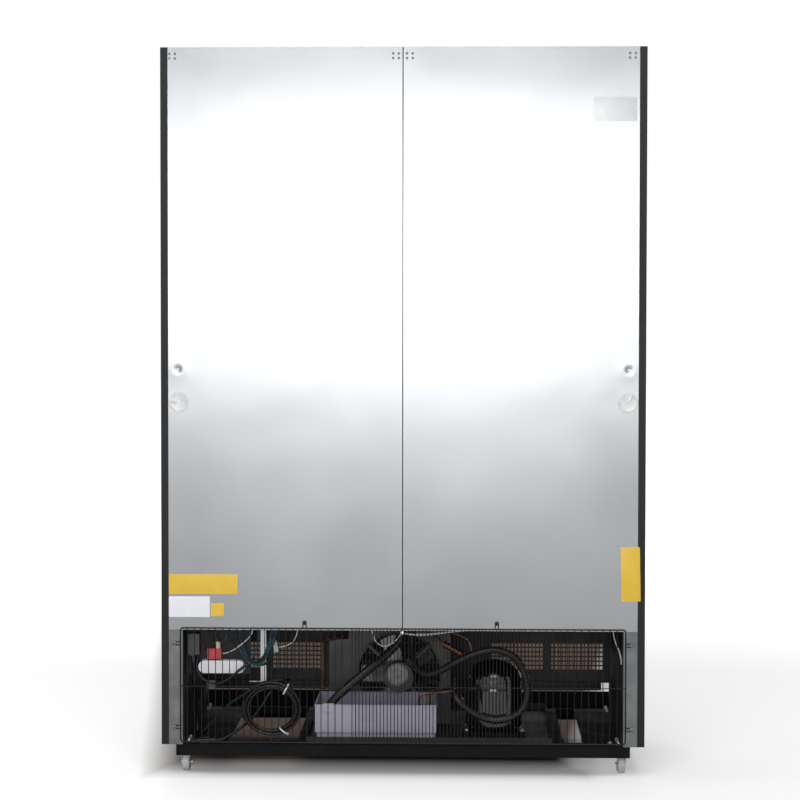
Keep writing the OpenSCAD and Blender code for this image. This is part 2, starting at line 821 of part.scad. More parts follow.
module fan_shroud() {
  t = 1.5;
  z0 = tray_floor;
  color("#232528") {
    difference() {
      translate([fan_x - shroud_w / 2, condenser_y1, z0])
        cube([shroud_w, shroud_y - condenser_y1, shroud_h]);
      translate([fan_x - shroud_w / 2 + t, condenser_y1 - 1, z0 - 1])
        cube([shroud_w - 2 * t, shroud_y - condenser_y1 - t + 1, shroud_h - t + 1]);
      translate([fan_x, shroud_y - 5, fan_z]) y_cylinder(10, fan_d + 14, 96);
    }
    translate([fan_x, shroud_y - t, fan_z])
      rotate([-90, 0, 0])
        difference() {
          cylinder(h = 16, d = fan_d + 18, $fn = 96);
          translate([0, 0, -1]) cylinder(h = 18, d = fan_d + 14, $fn = 96);
        }
    // Air baffle beside the shroud
    translate([fan_x + shroud_w / 2 - eps, shroud_y - t, z0]) cube([58, t, shroud_h - 30]);
    translate([fan_x + shroud_w / 2 + 58 - t, shroud_y - 60, z0]) cube([t, 60, shroud_h - 30]);
  }
}

module fan_motor() {
  hub_y = shroud_y + 6;
  color("#2a2c2e") {
    translate([fan_x, hub_y + 22, fan_z]) y_cylinder(46, 88, 64);
    translate([fan_x, hub_y - 16, fan_z]) y_cylinder(38 + eps, 8, 32);
    for (a = [45:90:315])
      translate([fan_x, hub_y + 34, fan_z])
        rotate([0, a, 0]) translate([40, -1.5, -4]) cube([fan_d / 2 - 28, 3, 8]);
    for (a = [45:90:315])
      translate([fan_x, 0, fan_z])
        rotate([0, a, 0])
          translate([fan_d / 2 + 9.2, shroud_y, -5]) cube([3, hub_y + 37 - shroud_y, 10]);
  }
}

module condenser_fan() {
  color("#8a8d90")
    translate([fan_x, shroud_y + 8, fan_z])
      rotate([90, 0, 0]) axial_fan(fan_d, 44, 18, 5, 30, 52, 8);
}

// Copper pipes, insulated suction line and drain hose
stub_end = comp_d / 2 + 16;
discharge_start = [comp_x + stub_end * cos(45), comp_y - stub_end * sin(45), discharge_stub_z];
discharge_route = [
  discharge_start, discharge_start + [14, -14, 0], at(-150, 262, 118), at(-122, 225, 122),
  at(-75, 200, 122), at(-75, 200, 40), at(200, 200, 40), at(200, 120, 40), at(-45, 120, 40),
  at(-45, 120, 124), at(-146, 140, 132), at(-146, 390, 132), at(-127, 396, 132)];
liquid_route = [
  at(163, 400, 50), at(244, 400, 50), at(244, 292, 50), at(244, 292, 254), at(188, 292, 262),
  at(170, 262, 302), at(-60, 212, 296), at(-104, 190, 272), at(-116, 184, 262)];
drier_a = at(-116, 184, 262);
drier_b = at(-168, 166, 236);
capillary_route = [
  drier_b, at(-182, 161, 229), at(-196, 160, 245), at(-186, 164, 276), at(-160, 168, 290),
  at(-138, 168, 300), at(-134, 168, ceiling_up - 0.2)];
module refrigerant_pipes() {
  color("#b5673c") {
    sweep(bent(discharge_route, 14, 3), 6.5, 8);
    sweep(bent(liquid_route, 14, 3), 8, 8);
    sweep(smooth(capillary_route, 3), 3, 6);
  }
  color("#c98a5a") rod(drier_a, drier_b, 19, 32);
}

suction_end_r = comp_d / 2 + 20.3;
suction_end = [comp_x + suction_end_r * cos(suction_stub_a),
               comp_y + suction_end_r * sin(suction_stub_a), suction_stub_z];
suction_lead = [cos(suction_stub_a), sin(suction_stub_a), 0];
suction_route = [
  at(-24, 150, ceiling_up - 0.2), at(-24, 150, 312), at(-24, 150, 300), at(-24, 140, 262),
  at(-32, 115, 216),
  at(-62, 88, 190), at(-105, 72, 202), at(-150, 64, 228), at(-212, 60, 256), at(-272, 60, 264),
  at(-330, 60, 232), at(-356, 60, 148), at(-330, 60, 84), at(-264, 60, 62), at(-200, 60, 84),
  at(-160, 60, 118), at(-148, 68, 136), suction_end + 24 * suction_lead,
  suction_end + 12 * suction_lead, suction_end];
module suction_line() {
  color("#0c0c0d")
    sweep(smooth(suction_route, 3), 20, 12);
}

drain_d = 25;
drain_route = [
  at(7, 150, ceiling_up - 0.2), at(7, 150, 312), at(7, 150, 300), at(16, 146, 274),
  at(50, 132, 238),
  at(100, 112, 198), at(150, 98, 158), at(188, 88, 126), at(206, 84, 106), at(212, 83, 88)];
module drain_hose() {
  color("#101010")
    sweep(smooth(drain_route, 3), drain_d, 12);
}

// Hanging strap and plate that carry the electrical modules
plate_in = 76;
plate_t = 1.5;
strap_x = lining_x - 233;
strap_w = 16;
strap_l = 155;
strap_in = 60;
foot_l = 48;
module control_bracket() {
  color("#b9bcbe") {
    translate(at(strap_x, strap_in, ceiling_up - strap_l)) cube([strap_w, 2, strap_l]);
    translate(at(strap_x, strap_in - 2 + eps, ceiling_up - 2)) cube([strap_w, 14, 2]);
    translate(at(strap_x, strap_in - 2 + eps, ceiling_up - strap_l)) cube([foot_l, 12, 2]);
  }
  color("#5b5e61") {
    translate(bay(185, plate_in, ceiling_up - 136)) cube([177, plate_t, 136]);
    translate(bay(185, plate_in + 12, ceiling_up - plate_t)) cube([177, 12 + eps, plate_t]);
  }
}

// Lamp driver, relay, capacitor, and the terminal box with the cord's
// tapered gland
driver_up = 196;
driver_h = 36;
driver_x0 = lining_x - 173;
driver_w = 134;
relay_x = lining_x - 104;
relay_up = driver_up + 40;
relay_w = 40;
relay_h = 30;
box_x = lining_x - 43;
box_up = 250;
gland_x = lining_x - 23;
gland_in = 57;
gland_h = 24;
module control_modules() {
  back = plate_in - plate_t;
  color("#e9eae6") {
    for (x = [driver_x0 + driver_h / 2, driver_x0 + driver_w - driver_h / 2])
      translate(at(x, back, driver_up + driver_h / 2)) y_cylinder(28, driver_h, 48);
    translate(at(driver_x0 + driver_h / 2, back, driver_up))
      cube([driver_w - driver_h, 28, driver_h]);
  }
  color("#c2322b") translate(at(relay_x, back, relay_up)) cube([relay_w, 24, relay_h]);
  color("#d9c7a4")
    translate(at(relay_x + 10, 62, relay_up + relay_h - eps))
      cylinder(h = 19, d = 15, $fn = 48);
  color("#17181a") {
    translate(at(box_x, back, box_up)) cube([32, 36, 60]);
    translate(at(gland_x, gland_in, box_up - gland_h))
      cylinder(h = gland_h + eps, d1 = cord_d + 3, d2 = 16, $fn = 32);
    translate(at(gland_x, gland_in, box_up - 6)) cylinder(h = 6 + eps, d = 20, $fn = 6);
  }
}

// The fan's cable, and the thin wires
cable_d = 7.5;
cable_route = [
  bay(37, 54, box_up - 0.3), bay(37, 54, box_up - 4), bay(37, 54, box_up - 8),
  bay(34.5, 49, 224), bay(35, 43.5, 206),
  bay(47, 39, 187), bay(67, 36, 173), bay(89, 34, 168), bay(113, 33, 174), bay(136, 34, 188),
  bay(158, 37, 207), bay(180, 41, 222), bay(202, 44, 226), bay(222, 46, 221), bay(238, 48, 228),
  bay(246, 50, 248), bay(249, 52, 274), bay(249, 52, 300), bay(249, 52, ceiling_up - 8),
  bay(249, 52, ceiling_up - 0.3)];
wires = [
  [bay(173.4, 62, 214), bay(182, 62, 214), bay(189, 59, 224), bay(199, 52, 250),
   bay(209, 47, 284), bay(213, 50, 306), bay(212, 52, ceiling_up - 6),
   bay(212, 52, ceiling_up - 0.3)],
  [bay(104.3, 62, 251), bay(109, 62, 251), bay(114, 62, 251), bay(125, 58, 255),
   bay(145, 46, 266), bay(173, 42, 288), bay(191, 46, 308), bay(195, 48, ceiling_up - 0.3)],
  [bay(79, 62, relay_up + relay_h + 0.3), bay(79, 61, 278), bay(76, 54, 298),
   bay(75, 52, ceiling_up - 0.3)],
  [bay(321, 70, ceiling_up - 0.3), bay(321, 70, 310), bay(309, 68, 284), bay(285, 64, 272),
   bay(259, 61, 270), bay(233.3, 59, 274)],
  [bay(43.3, 56, 286), bay(47.5, 56, 286), bay(52, 55, 282), bay(54, 54, 272),
   bay(54, 54, 262), bay(56, 57, 253), bay(59.5, 58, 250), bay(63.7, 58, 250)],
  [at(25 - lining_x, 60, ceiling_up - 0.3), at(24 - lining_x, 60, 308),
   at(17 - lining_x, 56, 284), at(8 - lining_x, 50, 262), at(3.5 - lining_x, 46, 240),
   at(3.5 - lining_x, 44, 228)]];
module wire_loom() {
  color("#2c5f6b") {
    sweep(smooth(cable_route, 2), cable_d, 8);
    for (w = wires) sweep(smooth(w, 3), 4, 6);
  }
}

// Rear guard of welded wire with loops that its screws pass through
guard_y = rear_y + guard_gap + rim_d / 2;
guard_w = body_w - 2 * guard_margin;
guard_z = base_top + 8 + guard_h / 2;
guard_r = 8;
cross_z = -3.5;
dense_x0 = -347;
dense_x1 = 151;
loop_w = 9;
loop_reach = 21;
side_loop_z = [base_top + 50, base_top + 289];
top_loop_x = [-267, 278];
module corner(r, d) {
  rotate([90, 0, 0])
    rotate_extrude(angle = 90, $fn = 32) translate([r, 0]) circle(d = d, $fn = 24);
}

module guard_rim() {
  w = guard_w / 2;
  h = guard_h / 2;
  for (s = [-1, 1]) {
    rod([-w + guard_r, 0, s * h], [w - guard_r, 0, s * h], rim_d);
    rod([s * w, 0, -h + guard_r], [s * w, 0, h - guard_r], rim_d);
  }
  for (q = [0:3])
    translate([(q == 0 || q == 3 ? 1 : -1) * (w - guard_r), 0,
               (q < 2 ? 1 : -1) * (h - guard_r)])
      rotate([0, -90 * q, 0]) corner(guard_r, rim_d);
}

// A U of wire, open at the rim and round at its end, along +X
module screw_loop() {
  r = loop_w / 2;
  for (s = [-1, 1]) rod([-1, 0, s * r], [loop_reach - r, 0, s * r], loop_d);
  translate([loop_reach - r, 0, 0])
    rotate([90, 90, 0])
      rotate_extrude(angle = 180, $fn = 32) translate([r, 0]) circle(d = loop_d, $fn = 24);
}

module rear_guard() {
  h = guard_h / 2;
  wide = 2 * bar_pitch;
  left_bars = [for (x = [dense_x0 - wide:-wide:-guard_w / 2 + 8]) x];
  dense_bars = [for (x = [dense_x0:bar_pitch:dense_x1]) x];
  right_bars = [for (x = [dense_x1 + wide:wide:guard_w / 2 - 8]) x];
  loop_y = rear_y + guard_gap + loop_lift + loop_d / 2 - guard_y;
  cross_y = bar_d * 0.8;
  color("#101112")
    translate([0, guard_y, guard_z]) {
      guard_rim();
      for (x = concat(left_bars, dense_bars, right_bars))
        rod([x, 0, -h], [x, 0, h], bar_d, 8);
      rod([-guard_w / 2, cross_y, cross_z], [guard_w / 2, cross_y, cross_z], bar_d, 8);
      for (s = [-1, 1], z = side_loop_z)
        translate([0, loop_y, z - guard_z])
          mirrored(s) translate([guard_w / 2, 0, 0]) screw_loop();
      for (x = top_loop_x)
        translate([x, loop_y, h]) rotate([0, -90, 0]) screw_loop();
    }
}

// Screws: under the guard's loops, and one in each back panel
module pan_screw(shank) {
  y_cylinder(washer_t, 12, 32);
  translate([0, washer_t - eps, 0]) y_cylinder(screw_head_h, 8, 32);
  translate([0, -shank, 0]) y_cylinder(shank + eps, screw_shank_d, 24);
}

module rear_screws() {
  shank = guard_gap + loop_lift + loop_d;
  reach = loop_reach - loop_w;
  color("#d4d6d8") {
    for (s = [-1, 1], z = side_loop_z)
      translate([s * (guard_w / 2 + reach), rear_y + shank, z]) pan_screw(shank);
    for (x = top_loop_x)
      translate([x, rear_y + shank, guard_z + guard_h / 2 + reach]) pan_screw(shank);
    both_sides()
      translate([panel_screw_x, rear_y, panel_screw_z]) pan_screw(skin_t);
  }
}

module foam_caps() {
  color("#dfe1e2")
    both_sides()
      translate([foam_hole_x, rear_y, foam_hole_z]) {
        y_cylinder(1.6, foam_hole_d + 5, 64);
        translate([0, -skin_t - foam_recess + 1, 0])
          y_cylinder(skin_t + foam_recess - 1 + eps, foam_hole_d - 2 * run_gap, 64);
      }
}

// Doors: each turns on two pins near its outer edge
door_edge = 3;
door_in_x = 3;
door_out_x = half_w - door_edge;
door_back_y = front_y - door_gap;
door_front_y = door_back_y - door_t;
hinge_leaf_t = 4;
door_z0 = box_bottom + 5;
door_z1 = canopy_z - hinge_leaf_t - 3;
pivot_x = door_out_x - 12;
pivot_y = door_back_y - 30;
pin_in = 16;
glass_in = 12;
glass_pack_t = 26;
glass_front_y = door_front_y + 5;

module door_frame(side) {
  w = door_out_x - door_in_x;
  h = door_z1 - door_z0;
  color("#1a1b1d")
    mirrored(side)
      difference() {
        union() {
          translate([door_in_x, door_front_y, door_z0]) cube([w, door_t, h]);
          translate([door_in_x + 14, door_front_y, door_z0 + 30])
            linear_extrude(h - 60)
              union() {
                translate([0, -grip_out + 3]) square([5, grip_out - 3 + eps]);
                translate([3, -grip_out]) square([24, 5]);
                translate([3, -grip_out + 3]) circle(r = 3, $fn = 32);
                translate([27, -grip_out + 2.5]) circle(r = 2.5, $fn = 32);
              }
        }
        translate([door_in_x + door_rail, door_front_y - 1, door_z0 + door_rail])
          cube([w - 2 * door_rail, door_t + 2, h - 2 * door_rail]);
        translate([door_in_x + door_rail - glass_in, glass_front_y,
                   door_z0 + door_rail - glass_in])
          cube([w - 2 * (door_rail - glass_in), glass_pack_t, h - 2 * (door_rail - glass_in)]);
        for (z = [door_z0 - 1, door_z1 - pin_in - 3])
          translate([pivot_x, pivot_y, z])
            cylinder(h = pin_in + 4, d = hinge_pin_d + 2 * pin_gap, $fn = 32);
      }
}
module door_frame_left() { door_frame(-1); }
module door_frame_right() { door_frame(1); }

// Three panes with a spacer frame between them
module door_glass(side) {
  w = door_out_x - door_in_x - 2 * (door_rail - glass_in);
  h = door_z1 - door_z0 - 2 * (door_rail - glass_in);
  gap = (glass_pack_t - 3 * pane_t) / 2;
  color("#9fb4b8", 0.35)
    mirrored(side)
      translate([door_in_x + door_rail - glass_in, glass_front_y,
                 door_z0 + door_rail - glass_in]) {
        for (i = [0:2])
          translate([0, i * (pane_t + gap), 0]) cube([w, pane_t, h]);
        for (i = [0:1])
          translate([0, pane_t + i * (pane_t + gap), 0])
            difference() {
              cube([w, gap, h]);
              translate([glass_in, -1, glass_in])
                cube([w - 2 * glass_in, gap + 2, h - 2 * glass_in]);
            }
      }
}
module door_glass_left() { door_glass(-1); }
module door_glass_right() { door_glass(1); }

// The gasket closes on the surround, just outside the opening's edge
gasket_w = 18;
gasket_lap = 2;
module door_gasket(side) {
  gt = door_gap + skin_t - soft_gap;
  x0 = mullion_w / 2 - gasket_lap;
  z0 = cav_z0 - gasket_lap;
  w = cav_x + gasket_lap - x0;
  h = open_z1 + gasket_lap - z0;
  color("#26272a")
    mirrored(side)
      translate([x0, door_back_y, z0])
        difference() {
          translate([-gasket_w, 0, -gasket_w]) cube([w + 2 * gasket_w, gt, h + 2 * gasket_w]);
          translate([0, -1, 0]) cube([w, gt + 2, h]);
        }
}
module door_gasket_left() { door_gasket(-1); }
module door_gasket_right() { door_gasket(1); }

module hinge_brackets() {
  leaf_in = pivot_x - 26;
  leaf_front = pivot_y - 14;
  color("#2e3033")
    both_sides() {
      translate([leaf_in, leaf_front, canopy_z - hinge_leaf_t])
        cube([door_out_x - leaf_in, front_y - leaf_front, hinge_leaf_t]);
      translate([pivot_x, pivot_y, door_z1 - pin_in])
        cylinder(h = canopy_z - door_z1 + pin_in - 1, d = hinge_pin_d, $fn = 32);
      translate([leaf_in, leaf_front, box_bottom - hinge_leaf_t])
        cube([door_out_x - leaf_in, front_y - leaf_front, hinge_leaf_t]);
      translate([lining_x + 2, front_y - eps, box_bottom - hinge_leaf_t])
        cube([post_w - 3, 40, hinge_leaf_t]);
      translate([pivot_x, pivot_y, box_bottom - 1])
        cylinder(h = door_z0 + pin_in - box_bottom + 1, d = hinge_pin_d, $fn = 32);
    }
}

// Castors: bolted top plates, swivelling forks, wheels and side brakes
king_d = 9;
crown_t = 2.5;
crown_d = 34;
fork_leg_t = 2;
axle_d = 6;
axle_head = 1.6;
hub_out = 0.7;
fork_gap = wheel_w + 2;
crown_z = castor_h - castor_plate_t - 2.6 - crown_t;
module castor_plates() {
  color("#c9ccce")
    both_sides()
      for (y = [rear_castor_y, front_castor_y])
        translate([castor_x, y, 0]) {
          translate([-castor_plate_w / 2, -castor_plate_l / 2, castor_h - castor_plate_t])
            cube([castor_plate_w, castor_plate_l, castor_plate_t]);
          translate([0, 0, castor_h - castor_plate_t - 2.3])
            cylinder(h = 2.3 + eps, d = 30, $fn = 48);
          translate([0, 0, crown_z - 1.3 - run_gap])
            cylinder(h = castor_h - crown_z - 1, d = king_d, $fn = 32);
          translate([0, 0, crown_z - 1.3 - run_gap])
            cylinder(h = 1.3, d = 14, $fn = 32);
          castor_bolt_places() {
            translate([0, 0, castor_h - eps])
              cylinder(h = base_h + 10, d = castor_bolt_d, $fn = 32);
            translate([0, 0, base_top]) cylinder(h = 6.5, d = 15, $fn = 6);
          }
        }
}

module castor_fork(side, y) {
  leg_x = fork_gap / 2;
  axle_z = wheel_d / 2;
  brake_side = fork_leg_t + 2 * run_gap + brake_t;
  color("#c9ccce")
    mirrored(side)
      translate([castor_x, y, 0])
        difference() {
          union() {
            translate([0, 0, crown_z]) cylinder(h = crown_t, d = crown_d, $fn = 48);
            translate([-leg_x - fork_leg_t, -trail - 9, crown_z])
              cube([2 * (leg_x + fork_leg_t), trail + 9, crown_t]);
            for (s = [-1, 1])
              translate([s > 0 ? leg_x : -leg_x - fork_leg_t, 0, 0])
                rotate([90, 0, 90])
                  linear_extrude(fork_leg_t)
                    union() {
                      translate([-trail, axle_z]) circle(d = 15, $fn = 32);
                      polygon([[-trail - 9, crown_z + crown_t], [9, crown_z + crown_t],
                               [7, crown_z - 5], [-trail + 7.5, axle_z], [-trail - 7.5, axle_z]]);
                    }
            translate([-leg_x - brake_side, -trail, axle_z])
              rotate([0, 90, 0])
                cylinder(h = 2 * leg_x + brake_side + fork_leg_t, d = axle_d, $fn = 32);
            for (x = [-leg_x - brake_side - axle_head, leg_x + fork_leg_t - eps])
              translate([x, -trail, axle_z])
                rotate([0, 90, 0]) cylinder(h = axle_head + eps, d = axle_d + 5, $fn = 32);
          }
          translate([0, 0, crown_z - 1]) cylinder(h = crown_t + 2, d = king_d + 2 * pin_gap, $fn = 32);
        }
}
module castor_fork_rear_left() { castor_fork(-1, rear_castor_y); }
module castor_fork_rear_right() { castor_fork(1, rear_castor_y); }
module castor_fork_front_left() { castor_fork(-1, front_castor_y); }
module castor_fork_front_right() { castor_fork(1, front_castor_y); }

module castor_wheel(side, y) {
  r = wheel_d / 2;
  w = wheel_w / 2;
  hub_r = axle_d / 2 + 4;
  bore_r = axle_d / 2 + pin_gap;
  color("#dcdedd")
    mirrored(side)
      translate([castor_x, y - trail, r])
        rotate([0, 90, 0])
          rotate_extrude($fn = 64)
            polygon(concat(
              [[bore_r, -w - hub_out], [hub_r, -w - hub_out], [hub_r, -w + 1.5],
               [r - 7, -w + 1.5], [r - 6, -w]],
              [for (a = [-90:18:0]) [r - 4 + 4 * cos(a), -w + 4 + 4 * sin(a)]],
              [for (a = [0:18:90]) [r - 4 + 4 * cos(a), w - 4 + 4 * sin(a)]],
              [[r - 6, w], [r - 7, w - 1.5], [hub_r, w - 1.5],
               [hub_r, w + hub_out], [bore_r, w + hub_out]]));
}
module castor_wheel_rear_left() { castor_wheel(-1, rear_castor_y); }
module castor_wheel_rear_right() { castor_wheel(1, rear_castor_y); }
module castor_wheel_front_left() { castor_wheel(-1, front_castor_y); }
module castor_wheel_front_right() { castor_wheel(1, front_castor_y); }

// Brake lever on the axle, beside the fork's inner leg, with a foot tab at
// its drooping end
brake_t = 2;
brake_foot = 8;
module castor_brake(side) {
  color("#b9bcbe")
    mirrored(side)
      translate([castor_x - fork_gap / 2 - fork_leg_t - run_gap, rear_castor_y - trail,
                 wheel_d / 2])
        difference() {
          union() {
            rotate([90, 0, -90])
              linear_extrude(brake_t)
                union() {
                  circle(d = 13, $fn = 32);
                  polygon([[3, 5.5], [4, -5], [-8, -8.5], [-17, -16], [-22, -14],
                           [-15, -2], [-7, 5]]);
                }
            translate([-brake_foot, 15.5, -15.6])
              rotate([22, 0, 0]) cube([brake_foot - brake_t + eps, 6, 1.8]);
          }
          translate([-brake_t - 1, 0, 0])
            rotate([0, 90, 0]) cylinder(h = brake_t + 2, d = axle_d + 2 * pin_gap, $fn = 32);
        }
}
module castor_brake_left() { castor_brake(-1); }
module castor_brake_right() { castor_brake(1); }

// Power cord: from the gland down to the base and up into the coil that
// hangs flat behind the guard, then down across it to the plug in the corner
coil_r = 86;
coil_squash = 0.9;
coil_step = 10.8;
layer_step = 11.2;
coil_x = lining_x - 252;
coil_up = 101;
coil_in = 6.5;
coil_start = 137;
climb = 0.5;
turn_rings = 24;
join_gap = 0.2;
coil_total = 2 * coil_turns + climb;
function coil_radius(t) =
  coil_r - coil_step * (t < coil_turns ? t
    : t < coil_turns + climb ? coil_turns : coil_total - t);
function coil_depth(t) =
  layer_step * min(1, max(0, (t - coil_turns) / climb));
function coil_point(t) =
  let (a = coil_start - 360 * t, r = coil_radius(t))
  at(coil_x - r * cos(a), coil_in + coil_depth(t), coil_up + coil_squash * r * sin(a));
coil_turn_points = [for (k = [0:floor(turn_rings * coil_total)]) coil_point(k / turn_rings)];
coil_last = len(coil_turn_points) - 1;
coil_in_dir = unit(coil_turn_points[1] - coil_turn_points[0]);
coil_out_dir = unit(coil_turn_points[coil_last] - coil_turn_points[coil_last - 1]);
coil_entry = coil_turn_points[0] - cord_d * coil_in_dir;
coil_exit = coil_turn_points[coil_last] + cord_d * coil_out_dir;
coil_path = concat([coil_entry], coil_turn_points, [coil_exit]);
coil_gap = min([for (i = [0:coil_last], j = [i + turn_rings / 2:coil_last])
  norm(coil_turn_points[i] - coil_turn_points[j])]) - cord_d;
module power_cord_coil() {
  echo("least gap between the coil's turns", coil_gap);
  color("#0d0d0e") sweep(coil_path, cord_d, 6);
}

plug_x = lining_x - 74;
plug_in = 20;
plug_up = 9.3;
plug_w = 26;
plug_l = 30;
relief_l = 20;
pin_pitch = 19;
plug_pin_d = 4.8;
module plug() {
  translate(at(plug_x, plug_in, plug_up)) {
    color("#111112") {
      translate([0, -plug_w / 2 + 6, -9]) cube([plug_l - 3, plug_w - 12, 18]);
      for (s = [-1, 1])
        translate([0, s * (plug_w / 2 - 6), 0])
          rotate([0, 90, 0]) cylinder(h = plug_l, d = 12, $fn = 32);
      translate([-relief_l, 0, 0])
        rotate([0, 90, 0]) cylinder(h = relief_l + eps, d1 = cord_d + 2, d2 = 15, $fn = 32);
    }
    color("#c9ccce")
      for (s = [-1, 1])
        translate([plug_l - eps, s * pin_pitch / 2, 0])
          rotate([0, 90, 0]) cylinder(h = 19, d = plug_pin_d, $fn = 32);
  }
}

lead_route = [
  at(gland_x, gland_in, box_up - gland_h - join_gap), bay(23, 57, 212), bay(23, 59, 192),
  bay(23, 66, 169), bay(24, 78, 146), bay(25, 92, 122), bay(26, 104, 98), bay(27, 112, 72),
  bay(28, 114, 47), bay(28, 110.5, 28), bay(29, 99, 13), bay(29, 82, 5.6), bay(30.5, 66, 5.6),
  bay(34.5, 53, 9.7), bay(42, 43, 18), bay(52, 37, 28.5), bay(63, 33, 40), bay(77, 28.5, 56.5),
  bay(91, 24, 73), bay(105, 20, 88), bay(120, 15.5, 103.5), bay(136, 11, 118),
  bay(151, 8, 128), coil_entry - 20 * coil_in_dir, coil_entry - 10 * coil_in_dir,
  coil_entry - join_gap * coil_in_dir];
tail_route = [
  coil_exit + join_gap * coil_out_dir, coil_exit + 5 * coil_out_dir,
  coil_exit + 10 * coil_out_dir,
  bay(284, 22.5, 182), bay(296.5, 35, 181), bay(301, 52, 178), bay(296.5, 69, 174),
  bay(284, 81, 168), bay(268, 86, 160), bay(254.5, 87, 150), bay(243, 86, 137),
  bay(232.5, 82.5, 121), bay(222.5, 78, 104.5), bay(211, 71.5, 88), bay(198, 65, 72),
  bay(183, 57.5, 55.5), bay(166, 48, 42.5), bay(148, 38, 31), bay(131, 30, 21),
  bay(116, 23.5, 13), bay(105, 20.3, 9.7),
  at(plug_x - relief_l - join_gap, plug_in, plug_up)];
module power_cord() {
  color("#0d0d0e") {
    sweep(smooth(lead_route, 2), cord_d, 8);
    sweep(smooth(tail_route, 2), cord_d, 8);
  }
}

side_panel_left();
side_panel_right();
back_panel_left();
back_panel_right();
top_panel();
insulation();
inner_liner();
rear_corner_posts();
compartment_lining();
base_frame();
kick_plate();
door_surround();
canopy_housing();
canopy_lens();
wire_shelves();
shelf_uprights();
led_strips();
evaporator_coil();
evaporator_cover();
evaporator_fan();
unit_tray();
compressor();
compressor_mounts();
condenser();
fan_shroud();
fan_motor();
condenser_fan();
refrigerant_pipes();
suction_line();
drain_hose();
evaporation_box();
control_bracket();
control_modules();
wire_loom();
power_cord();
power_cord_coil();
plug();
rear_guard();
rear_screws();
foam_caps();
hinge_brackets();
castor_plates();
castor_fork_rear_left();
castor_fork_rear_right();
castor_fork_front_left();
castor_fork_front_right();
castor_wheel_rear_left();
castor_wheel_rear_right();
castor_wheel_front_left();
castor_wheel_front_right();
castor_brake_left();
castor_brake_right();
door_frame_left();
door_frame_right();
door_glass_left();
door_glass_right();
door_gasket_left();
door_gasket_right();
controller();
light_switch();
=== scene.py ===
# %% [markdown]
# # A two-door display freezer, seen from behind
#
# The cabinet, its doors and its cooling unit arrive as solids in metres, each
# on the body that it moves with. This lesson gives them their finishes, and
# models the pieces whose charm lies in soft or small shapes: the rippled back
# sheets, the cord, the wires, the screws and the bare plates.
#
# The first cell loads the solids and gives a function that reads the box of
# each.

# %% Load the frame
import math
import bmesh
import bpy
from mathutils import Matrix, Vector, noise


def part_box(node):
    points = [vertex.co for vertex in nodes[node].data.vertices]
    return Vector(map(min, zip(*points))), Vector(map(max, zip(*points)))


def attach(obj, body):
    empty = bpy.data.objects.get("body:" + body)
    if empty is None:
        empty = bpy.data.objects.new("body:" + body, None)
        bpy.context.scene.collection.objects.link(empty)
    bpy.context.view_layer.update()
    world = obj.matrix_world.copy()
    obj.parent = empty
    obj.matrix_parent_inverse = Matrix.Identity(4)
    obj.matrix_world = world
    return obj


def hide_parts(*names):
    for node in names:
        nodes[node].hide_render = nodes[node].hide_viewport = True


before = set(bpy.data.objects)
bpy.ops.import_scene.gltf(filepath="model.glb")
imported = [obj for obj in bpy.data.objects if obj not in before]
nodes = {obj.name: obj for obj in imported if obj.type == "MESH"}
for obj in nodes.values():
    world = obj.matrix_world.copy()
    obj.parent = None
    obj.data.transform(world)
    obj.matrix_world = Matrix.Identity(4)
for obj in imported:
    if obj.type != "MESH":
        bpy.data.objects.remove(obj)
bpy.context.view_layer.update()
MM = 0.001

# %% [markdown]
# ## The camera
#
# The photograph was taken from about six metres behind the cabinet, at chest
# height, turned a little to one side and tipped slightly down. A long lens
# and a small vertical shift give the same upright edges. The angles are
# written out as the directions that the camera looks in.

# %% Place the camera
def aim(eye, yaw, pitch, roll):
    """A camera matrix that looks along -Y, turned and tipped in degrees."""
    yaw, pitch, roll = (math.radians(a) for a in (yaw, pitch, roll))
    ahead = Vector((math.sin(yaw) * math.cos(pitch), -math.cos(yaw) * math.cos(pitch),
                    math.sin(pitch)))
    side = ahead.cross(Vector((0, 0, 1))).normalized()
    up = side.cross(ahead)
    turned = side * math.cos(roll) + up * math.sin(roll)
    upright = up * math.cos(roll) - side * math.sin(roll)
    axes = Matrix((turned, upright, -ahead)).transposed()
    return Matrix.Translation(eye) @ axes.to_4x4()


PHOTO_SIZE = 800
FOCAL_PIXELS = 2191.4
SHIFT_PIXELS = -27.96
EYE, YAW, PITCH, ROLL = (-0.170, 6.5434, 1.3554), 1.648, -1.866, 0.061
lens = bpy.data.cameras.new("photo_camera")
lens.sensor_width = 36
lens.lens = FOCAL_PIXELS / PHOTO_SIZE * lens.sensor_width
lens.shift_y = SHIFT_PIXELS / PHOTO_SIZE
camera = bpy.data.objects.new("photo_camera", lens)
bpy.context.scene.collection.objects.link(camera)
camera.matrix_world = aim(EYE, YAW, PITCH, ROLL)
bpy.context.scene.camera = camera
bpy.context.scene.view_settings.view_transform = "Standard"
print("lens", round(lens.lens, 1), "mm")

# %% [markdown]
# ## Sizes shared with the solids
#
# The machine compartment is measured from the rear skin inwards and from the
# base frame upwards, as a fitter would, so one function turns such a place
# into the frame's metres.

# %% Shared places
REAR_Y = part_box("back_panel_left")[1].y
BASE_HEIGHT = 33
BASE_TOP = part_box("base_frame")[0].z + BASE_HEIGHT * MM
LINING_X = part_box("compartment_lining")[1].x / MM


def at(across, inward, up):
    """A place in the machine compartment, from millimetres."""
    return Vector((across * MM, REAR_Y - inward * MM, BASE_TOP + up * MM))


def bay(aside, inward, up):
    """The same, measured from the +X wall that the electrics keep near."""
    return at(LINING_X - aside, inward, up)


def place(made):
    """Links a finished piece and lets it ride on the cabinet."""
    bpy.context.scene.collection.objects.link(made)
    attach(made, "cabinet")
    return made


